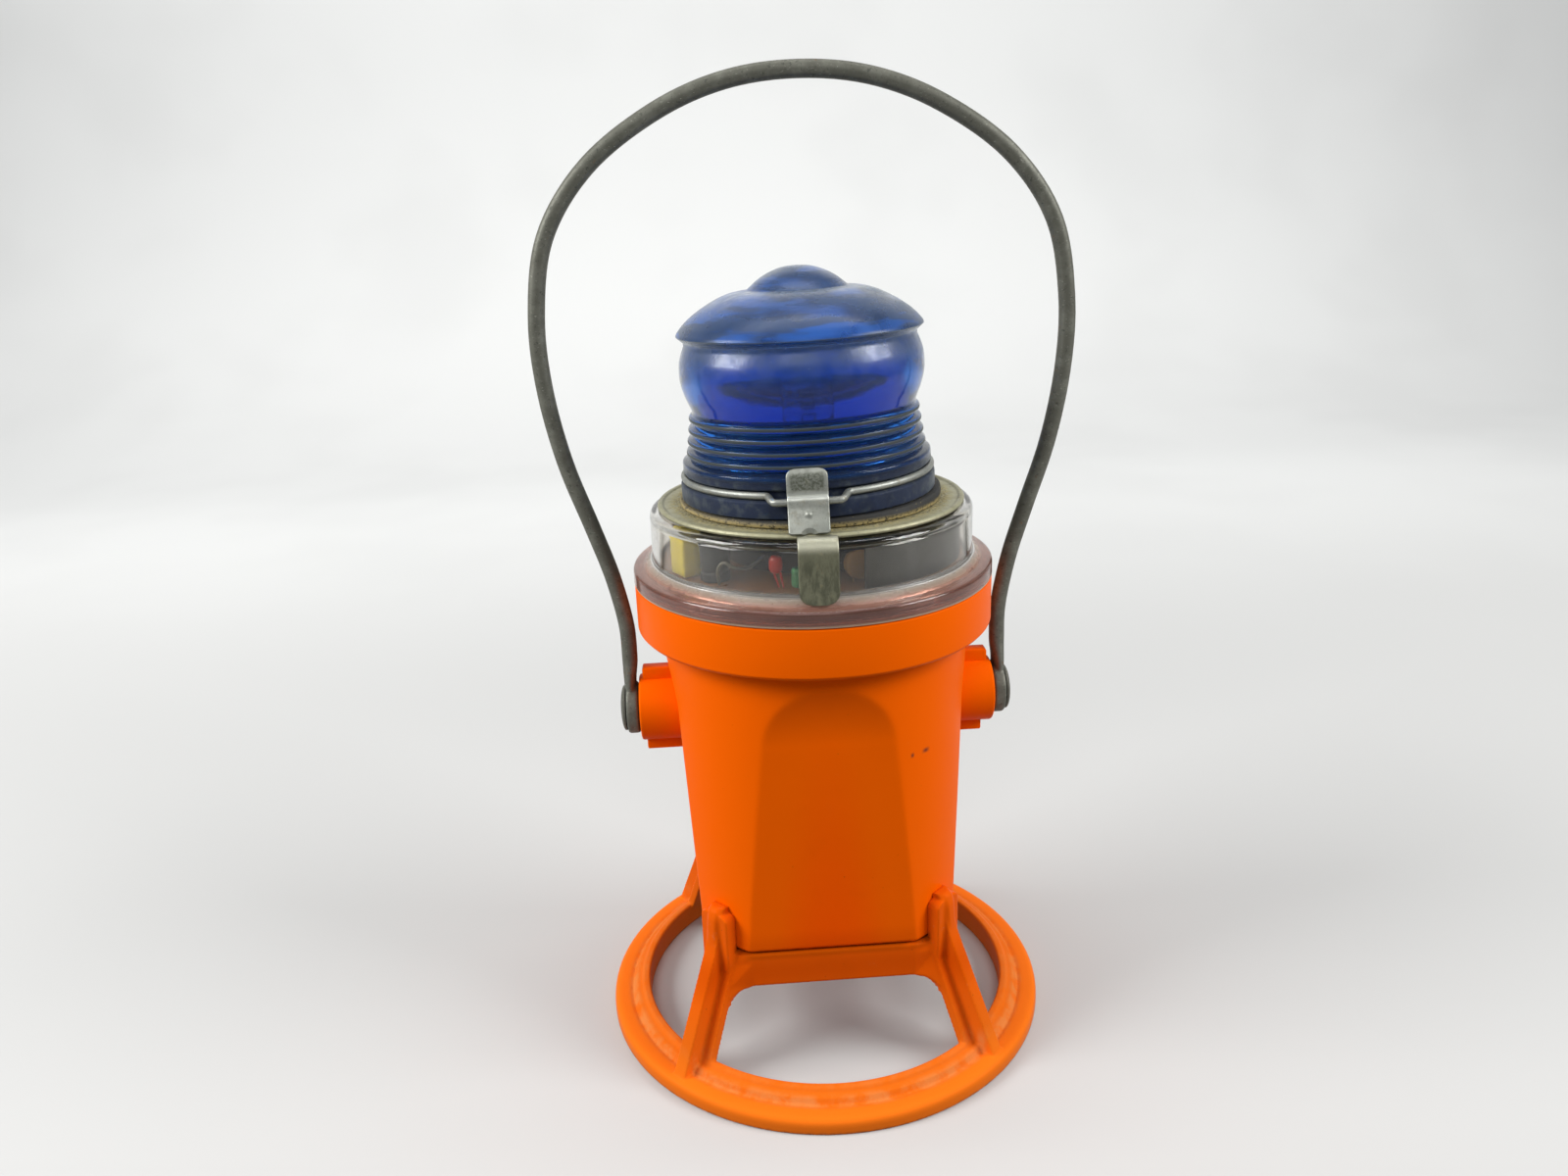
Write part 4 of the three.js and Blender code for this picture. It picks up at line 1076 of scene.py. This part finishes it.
def rivet(side, label):
    """Solid rivet with a low domed head, clinched over a burr inside the case."""
    head = EYE_X + EYE_THICK / 2 + 0.3
    dome = [(7 * math.sin(t * DEG), head + 0.45 + 1.25 * math.cos(t * DEG)) for t in (86, 75, 62, 48, 33, 16)]
    profile = rounded([(0, 36.9), (4.4, 36.9), (4.4, 37.9), (2.5, 38.1), (2.5, head), (7, head)],
                      [0, 0.4, 0.4, 0.2, 0.2, 0.25], closed=False) + dome + [(0, head + 1.7)]
    made = at_boss(along_x(spun(profile, 64)), side)
    fine(made, f"bail_rivet_{label}", "bail_steel", "body")


def burr(side, label):
    profile = rounded([(2.8, 38.3), (6, 38.3), (6, 39.1), (2.8, 39.1)], 0.2)
    made = at_boss(along_x(spun(profile, 48)), side)
    fine(made, f"rivet_burr_{label}", "zinc", "body")


# --- battery


def battery():
    """Steel can with rolled top and bottom rims."""
    half = BATTERY_HIGH.x
    corner = 9.7
    centre = half - corner

    def level(inset):
        middles = enumerate(((centre, centre), (-centre, centre), (-centre, -centre), (centre, -centre)))
        return [p for i, (x, y) in middles for p in arc(x, y, corner - inset, 90 * i, 90 * i + 90, 10)]

    z0, z1 = BATTERY_LOW.z, BATTERY_HIGH.z
    steps = [(1.2, z0), (0.35, z0 + 0.35), (0, z0 + 1.2), (0, z0 + 2.4), (0.5, z0 + 3), (0.5, z1 - 3.6),
             (0, z1 - 3), (0, z1 - 1.2), (0.35, z1 - 0.35), (1.2, z1), (2.0, z1), (2.4, z1 - 0.6)]
    made = skin([[(x, y, z) for x, y in level(inset)] for inset, z in steps])
    fine(made, "battery", "battery_wrap", "body")


def spring(x, y, name):
    turns, per_turn = 3, 28
    bottom, top = BATTERY_HIGH.z + 0.9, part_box(name)[1].z / MM - 0.6
    line = []
    for t in np.arange(turns * per_turn + 1) / (turns * per_turn):
        r = 6.2 - 2.6 * t
        line.append((x + r * math.cos(2 * math.pi * turns * t), y + r * math.sin(2 * math.pi * turns * t),
                     bottom + (top - bottom) * t))
    fine(wire(line, 0.6, 10), name, "spring_brass", "body")


# --- clear head


def clear_cover():
    flange = COVER_HIGH.x
    skirt = 49.3
    low = COVER_LOW.z
    profile = rounded([
        (skirt, low), (skirt, FLANGE_BOTTOM), (52.2, FLANGE_BOTTOM), (52.2, LIP_BOTTOM), (flange, LIP_BOTTOM),
        (flange, FLANGE_BOTTOM + 3),
        (50.2, FLANGE_BOTTOM + 3.6), (COVER_R, FLANGE_BOTTOM + 5.6), (COVER_R, ROOF), (33.5, ROOF),
        (33.5, ROOF - 2), (45.4, ROOF - 2), (45.4, ON_BOARD), (48.1, ON_BOARD), (48.1, low),
    ], [0.3, 0.2, 0.15, 0.2, 0.25, 1.2, 1.4, 1.2, 2.4, 0.3, 0.3, 1.6, 0.2, 0.2, 0.3], steps=7)
    lugs = [sector_solid(48.8, 50.4, low, low + 3.6, 90 + 120 * i, 30) for i in range(3)]
    whole = united([spun(profile, 200), *lugs])
    fine(whole, "clear_cover", "clear_plastic")


def cover_gasket():
    inner, outer = 50.95, 51.9
    bottom, top = COLLAR_TOP + 0.15, FLANGE_BOTTOM - 0.15
    made = turned([(inner, bottom), (outer, bottom), (outer, top), (inner, top)], 0.35, 200)
    fine(made, "cover_gasket", "pale_rubber")


def seat_ring():
    """Pressed ring on the roof: collar down the hole, flat seat and rolled outer rim."""
    top = SEAT_TOP
    profile = rounded([
        (32.4, ROOF - 3.2), (33.2, ROOF - 3.2), (33.2, top - 0.8), (44.7, top - 0.8), (45, top - 0.2),
        (44.5, top + 0.45), (43.6, top + 0.45), (43, top), (33.6, top), (32.4, top - 1),
    ], [0.2, 0.2, 0.3, 0.3, 0.4, 0.4, 0.4, 0.3, 0.6, 0.6])
    fine(spun(profile, 200), "seat_ring", "seat_zinc")


STRAP_LINE = [(42.6, 168.3), (45.2, 168.4), (46.6, 168), (47.6, 167.1), (48.3, 165.6), (48.7, 163.4),
              (49.3, 159), (51, 151.9)]
STRAP_SEAT = 168.7                # height of the seat that this line lies on


def seat_strap():
    """Strap spot-welded to the ring and bent down over the front of the head."""
    shift = SEAT_TOP - STRAP_SEAT
    line = spaced(through([(r, z + shift) for r, z in STRAP_LINE], 8), 0.35)

    def bump(s, a):
        return -0.25 * math.exp(-((s - 1.6) ** 2 + (abs(a) - 3.2) ** 2) / 0.5)

    made = strap(line, 0.9, STRAP_HALF, corners=(0.6, 3.4), bump=bump)
    return moved(made, turn_z(-90 + STRAP_TURN))


def seat_hook():
    """Curled hook behind the lens that holds the wire."""
    curl = arc(HINGE_Y, HINGE_Z, 1.65, -35, 170, 24)
    line = spaced(rounded([(42.4, SEAT_TOP - 0.1), (43.0, SEAT_TOP + 0.7), (42.2, 172.6)], [0, 0.8, 0],
                          closed=False) + curl, 0.3)
    made = strap(line, 0.7, 5.5, corners=(0.4, 1.0), side=(0, -1, 0))
    return moved(made, LENS_FRAME @ turn_z(90))


def lens_gasket():
    """Rubber ring squeezed into a wedge under the leaning lens."""
    up = LENS_FRAME.to_3x3() @ Vector((0, 0, 1))
    rings = []
    for angle in np.arange(200) * 2 * math.pi / 200:
        lift = 0.07 * math.sin(5 * angle) + 0.05 * math.sin(13 * angle + 1)

        def top(r):
            x, y = r * math.cos(angle), r * math.sin(angle)
            return LENS_BASE - 0.3 - (up.x * x + up.y * y) / up.z

        low = SEAT_TOP + 0.15
        profile = rounded([(34, low), (38.2 + lift, low), (38.4 + 2 * lift, (low + top(38)) / 2),
                           (38.0, top(38)), (34, top(34))], [0.3, 0.5, 0.6, 0.5, 0.3], steps=3)
        rings.append([(r * math.cos(angle), r * math.sin(angle), z) for r, z in profile])
    fine(skin(rings, joined=True), "lens_gasket", "black_rubber")


# --- lens and wire


def lens_profile():
    """Pressed lens from the foot up its outside, then back down its inside."""
    foot = rounded([(33.6, LENS_BASE), (37, LENS_BASE), (37, 176.1), (34.5, 176.3), (34.5, 178.6),
                    (36, 178.8), (36, 182.2), (33.4, 183.2)],
                   [0.3, 0.5, 0.9, 0.5, 0.5, 0.8, 0.9, 0.4], closed=False)
    ribs = []
    for r, z in [(34.6, 184.9), (34.1, 188.1), (33.6, 191.4), (33.2, 194.6)]:
        ribs += [(r - 1.25, z - 1.75)] + [(r - 1.2 + x, z - 0.4 + y) for x, y in arc(0, 0, 1.2, -75, 75, 8)]
    bulge = through([(32.1, 196.3), (32.8, 198.1), (33.8, 200.6), (34.7, 204), (34.9, 207), (34.5, 210.6),
                     (33, 214.6)], 5)
    brim = rounded([(33, 214.6), (33.1, 215.6), (35, 217.3), (34.7, 218)], [0, 0.4, 0.25, 0.3], closed=False)
    dome = through([(34.7, 218), (32.8, 220.2), (29.5, 222.9), (24.4, 225.9), (19.5, 227.8), (14.3, 228.5)])
    knob = through([(14.3, 228.5), (13.2, 229.4), (10.8, 231.3), (7.4, 233.1), (3.8, 234.2), (0, LENS_TOP)])
    inside = through([(0, 225.4), (12, 224.4), (23, 220.9), (29.6, 216), (31.4, 208.5), (29.6, 199),
                      (29.7, 190), (31.6, 176), (33.2, 172)])
    return [*foot[1:], *ribs, *bulge, *brim[1:], *dome[1:], *knob[1:], *inside]


def lens():
    fine(moved(spun(lens_profile(), 220), LENS_FRAME), "lens", "blue_glass", "lens_unit")


def lens_wire():
    """Wire round the foot of the lens, cranked outwards and down at the latch and at the hinge."""
    ring_r = 35.9
    ring_z = 177.5
    line = []
    for degrees in np.arange(1, 359.5, 1.5):
        away = min(abs((degrees + 90) % 180 - 90), 90)
        t = min(max((18 - away) / 6, 0), 1)
        share = t * t * (3 - 2 * t)
        straight = HINGE_Y / math.cos(min(away, 30) * DEG)
        r = ring_r + share * (straight - ring_r)
        turn = degrees * DEG
        line.append((r * math.sin(turn), r * math.cos(turn), ring_z + share * (HINGE_Z - ring_z)))
    made = moved(wire(line, 1, 14), LENS_FRAME)
    fine(made, "lens_wire", "zinc", "lens_unit")


def latch():
    """Spring latch: finger tab, bulge round the wire, a dimple and a leg that bears on the rim."""
    bulge = arc(HINGE_Y, HINGE_Z, 1.75, 70, 5, 14)
    tab = through([(38.8, 185.3), (39.5, 183.6), (39.9, 181.6), (39.9, 180.2), (39.8, 179.2), bulge[0]], 6)
    leg = through([bulge[-1], (41.7, 175), (43.2, 172), (45.1, 169.5)], 6)
    step = 0.3
    line = spaced([*tab[:-1], *bulge, *leg[1:]], step)
    low = next(i for i, p in enumerate(line) if p[1] < HINGE_Z - 2.6) * step

    def bump(s, a):
        return -0.5 * math.exp(-((s - low) ** 2 + a ** 2) / 0.45)

    made = strap(line, 0.9, LATCH_HALF, corners=(2.1, 0.6), bump=bump, columns=36)
    notch = cylinder(3.2, 160, 172, 48)
    less(made, [moved(notch, offset(47.7, 0, 0))])
    moved(made, LENS_FRAME @ turn_z(-90))
    fine(made, "latch", "zinc", "latch", finish=LATCH_ZINC)


# --- electronics


def stood(thing, azimuth, r):
    """Stands a part on the board; the azimuth is from the front towards +X."""
    spot = Vector((r * math.sin(azimuth * DEG), -r * math.cos(azimuth * DEG), 0))
    return moved(thing, Matrix.Translation(spot) @ turn_z(azimuth))


def legs(spread, top, foot):
    return [wire([(side * foot[0] + foot[1], 0, ON_BOARD), (side * (spread + foot[0]) / 2 + foot[1] / 2, 0,
                  (ON_BOARD + top) / 2), (side * spread, 0, top)], 0.35, 8) for side in (1, -1)]


def board():
    low, high = BOARD_LOW.z, BOARD_HIGH.z
    r = BOARD_HIGH.x
    made = turned([(0, low), (r, low), (r, high), (0, high)], [0, 0.2, 0.2, 0], 160)
    fine(made, "circuit_board", "board_laminate")
    inner, outer, bottom, top = 44.5, 47.7, 148.8, low - 0.3
    ring = turned([(inner, bottom), (outer, bottom), (outer, top), (inner, top)], 0.3, 160)
    fine(ring, "board_ring", "black_plastic")


def flasher_module():
    """Round potted module with a raised lip round its resin."""
    well = SOCKET_HIGH.x + 0.3
    r, top = MODULE_HIGH.x, MODULE_HIGH.z
    made = turned([(well, ON_BOARD), (r, ON_BOARD), (r, top), (r - 1.6, top), (r - 1.9, top - 0.8),
                   (well + 1.6, top - 0.8), (well + 1.3, top), (well, top)],
                  [0.3, 0.4, 0.7, 0.3, 0.5, 0.5, 0.3, 0.3], 120)
    fine(made, "flasher_module", "black_plastic")


def lamp():
    low = SOCKET_LOW.z
    top = SOCKET_HIGH.z
    r = SOCKET_HIGH.x
    socket = turned([(0, low), (r, low), (r, 165.5), (7.4, 166.5), (7.4, top - 2.4), (8.2, top - 1.8),
                     (8.2, top), (5.6, top), (5.6, 176), (0, 176)],
                    [0, 0.3, 0.6, 0.6, 0.4, 0.4, 0.4, 0.4, 0.2, 0], 72)
    fine(socket, "lamp_socket", "black_plastic")
    middle = BULB_HIGH.z - 7.6
    base_top = BULB_LOW.z + 12
    base = turned([(0, BULB_LOW.z), (1.6, BULB_LOW.z), (2.2, BULB_LOW.z + 0.8), (5, BULB_LOW.z + 1.2),
                   (5, base_top), (4.6, base_top + 0.5), (0, base_top + 0.5)],
                  [0, 0.5, 0.3, 0.4, 0.3, 0.3, 0], 48)
    piece(base, "bulb_base_fine", "spring_brass")
    outer = [(4.0, base_top + 0.7)] + arc(0, middle, 7.6, -60, 90, 24)[:-1] + [(0, middle + 7.6)]
    inner = [(0, middle + 7.1)] + arc(0, middle, 7.1, 90, -60, 24)[1:] + [(3.4, base_top + 0.7)]
    fine(spun(outer + inner, 72), "lamp_bulb", "bulb_glass")
    coil = [(x, 0.25 * math.cos(x * 26), middle - 1 + 0.25 * math.sin(x * 26))
            for x in np.linspace(-1.8, 1.8, 160)]
    piece(wire(coil, 0.06, 6), "bulb_filament", "zinc")
    for side in (1, -1):
        heights = ((1.2, base_top), (1.3, base_top + 4), (1.8, middle - 1))
        post = through([(side * x, 0, z) for x, z in heights])
        piece(wire(post, 0.18, 8), f"filament_post_{'right' if side > 0 else 'left'}", "zinc")


def small_parts():
    wide, deep = 3.9, 2.8
    outline = rounded([(-wide, -deep), (wide, -deep), (wide, deep), (-wide, deep)], 0.9)
    block = slab(outline, ON_BOARD, ON_BOARD + 11.4, 0.6, 4)
    fine(stood(block, -61.5, 41.2), "film_capacitor", "yellow_resin")
    can = turned([(0, ON_BOARD), (4, ON_BOARD), (4, 155.2), (3.6, 155.8), (4, 156.4), (4, 165), (3.2, 165),
                  (3, 164.7), (0, 164.7)], [0, 0.3, 0.3, 0.3, 0.3, 0.7, 0.2, 0.2, 0], 48)
    fine(stood(can, -47.5, 38.6), "can_capacitor", "black_plastic")
    bead = spun([(2.1 * math.sin(t) * (1 + 0.12 * math.cos(2 * t)), 159.4 - 2.6 * math.cos(t))
                 for t in np.linspace(0, math.pi, 24)], 32)
    fine(stood(united([bead, *legs(1, 158.4, (0.6, 1.4))]), -19, 38.5), "bead_capacitor", "red_resin")
    body = [(0, 153.4), (1.7, 153.4), (2.1, 154), (2.1, 158), (1.7, 158.6), (0, 158.6)]
    made = united([turned(body, [0] + [0.4] * 4 + [0], 36), *legs(0.6, 156, (0.6, 0))])
    fine(stood(made, -9.7, 38.5), "resistor", "green_resin")
    r, half = 4.6, 1.1
    disc = turned([(0, -half), (r, -half), (r, half), (0, half)], [0, 0.9, 0.9, 0], 48)
    moved(disc, offset(0, 0, 158.4) @ Matrix.Rotation(90 * DEG, 4, "X"))
    fine(stood(united([disc, *legs(2, 156, (2, 0))]), 16, 36.5), "disc_capacitor", "tan_resin")


def lamp_lead():
    def at(azimuth, r, z):
        return (r * math.sin(azimuth * DEG), -r * math.cos(azimuth * DEG), z)

    line = through([at(-41, 42, ON_BOARD), at(-40.8, 42.4, 157.4), at(-37.6, 42.6, 159.8),
                    at(-34.6, 41.4, 158.4), at(-33.4, 36, 156.8), at(-33, 30, 157.6),
                    at(-33, MODULE_HIGH.x + 0.3, 158.6)], 8)
    fine(wire(line, 0.45, 12), "lamp_lead", "lead_insulation")


def shield_and_contacts():
    band = sector_solid(42.7, 43.8, ON_BOARD, 164.6, -8, 136, 0.25)
    fine(band, "shield_band", "shield_plastic")
    top = BOARD_LOW.z - 0.3
    disc = turned([(0, top - 0.8), (5.5, top - 0.8), (6.5, top), (0, top)], [0, 0.4, 0.1, 0], 48)
    fine(disc, "contact_centre", "spring_brass")
    strip = sector_solid(24.8, 31.8, top - 0.8, top, -45, 34, 0.2)
    fine(strip, "contact_arc", "spring_brass")


# --- assembly

stand()
case()
bail()
for side, label in ((1, "right"), (-1, "left")):
    rivet(side, label)
    burr(side, label)
battery()
spring(0, 0, "battery_spring_centre")
spring(20, -20, "battery_spring_corner")
clear_cover()
cover_gasket()
seat_ring()
piece(seat_strap(), "seat_strap_fine", "seat_zinc", finish=STRAP_ZINC)
piece(seat_hook(), "seat_hook_fine", "seat_zinc")
lens_gasket()
lens()
lens_wire()
latch()
board()
flasher_module()
lamp()
small_parts()
lamp_lead()
shield_and_contacts()

# --- stage, light, camera


def stage():
    """Pale floor that curves up into a pale backdrop well behind the lantern."""
    curve = rounded([(-3, 0), (1.3, 0), (1.3, 3)], [0, 0.5, 0], closed=False, steps=16)
    mesh = bpy.data.meshes.new("stage_sweep")
    verts = [(x, y, z) for y, z in curve for x in (-4, 4)]
    faces = [(2 * i, 2 * i + 1, 2 * i + 3, 2 * i + 2) for i in range(len(curve) - 1)]
    mesh.from_pydata(verts, [], faces)
    sweep = placed("stage_sweep", mesh)
    mesh.shade_smooth()
    paint = Paint("stage_paper", (0.49, 0.49, 0.48), 0.85)
    far = paint.either(paint.remap(paint.coordinate(2), 1, 130), paint.remap(paint.coordinate(1), 200, 800))
    paint.tint(far, (0.80, 0.805, 0.79))
    paint.tint(paint.patches(0.4, 0.7, 220, 2), (0.47, 0.47, 0.46), 0.1)
    mesh.materials.append(paint.material)
    sweep.visible_diffuse = False


def softbox(name, place, size, power, target=(0, 0, 0.13), color=(1, 1, 1)):
    data = bpy.data.lights.new(name, "AREA")
    data.shape = "RECTANGLE"
    data.size, data.size_y = size
    data.energy = power
    data.color = color
    lamp_object = placed(name, data)
    lamp_object.location = place
    lamp_object.rotation_euler = (Vector(target) - Vector(place)).to_track_quat("-Z", "Y").to_euler()


def around(azimuth, elevation, away):
    """A place round the lantern; the azimuth is from the front towards +X."""
    middle = 0.17
    level = away * math.cos(elevation * DEG)
    height = middle + away * math.sin(elevation * DEG)
    return (level * math.sin(azimuth * DEG), -level * math.cos(azimuth * DEG), height)


def lights():
    softbox("light_left", around(-79, 30, 1.2), (0.6, 0.55), 14.8)
    softbox("light_right", around(71, 30, 1.2), (0.6, 0.55), 12.5)
    softbox("light_front", around(-8, 42, 1.3), (0.8, 0.5), 3.5)
    softbox("light_above", (0, 0.05, 1.4), (1.2, 0.8), 2)
    softbox("light_backdrop", (0, 0.25, 1.6), (1.6, 0.3), 13, target=(0, 1.3, 0.5))
    world = bpy.data.worlds.new("studio")
    world.use_nodes = True
    world.node_tree.nodes["Background"].inputs["Color"].default_value = (0.95, 0.97, 1.0, 1)
    world.node_tree.nodes["Background"].inputs["Strength"].default_value = 0.25
    bpy.context.scene.world = world


def camera():
    """A near, slightly high camera with a small roll, turned a little round the lantern."""
    data = bpy.data.cameras.new("camera")
    data.sensor_width = 36
    data.lens = 26.26
    data.clip_start = 0.01
    yaw, pitch, roll, round_z = (angle * DEG for angle in (-1.52, 18.17, -2.15, -4.5))
    ahead = Vector((math.sin(yaw) * math.cos(pitch), math.cos(yaw) * math.cos(pitch), -math.sin(pitch)))
    right = Vector((math.cos(yaw), -math.sin(yaw), 0))
    up = right.cross(ahead)
    rolled_right = math.cos(roll) * right + math.sin(roll) * up
    rolled_up = math.cos(roll) * up - math.sin(roll) * right
    axes = Matrix((rolled_right, rolled_up, -ahead)).transposed().to_4x4()
    away, height = 0.3294, 0.2484
    taker = placed("camera", data)
    taker.matrix_world = Matrix.Rotation(round_z, 4, "Z") @ offset(0, -away, height) @ axes
    bpy.context.scene.camera = taker


stage()
lights()
camera()
bpy.context.scene.view_settings.view_transform = "Standard"
bpy.context.view_layer.update()
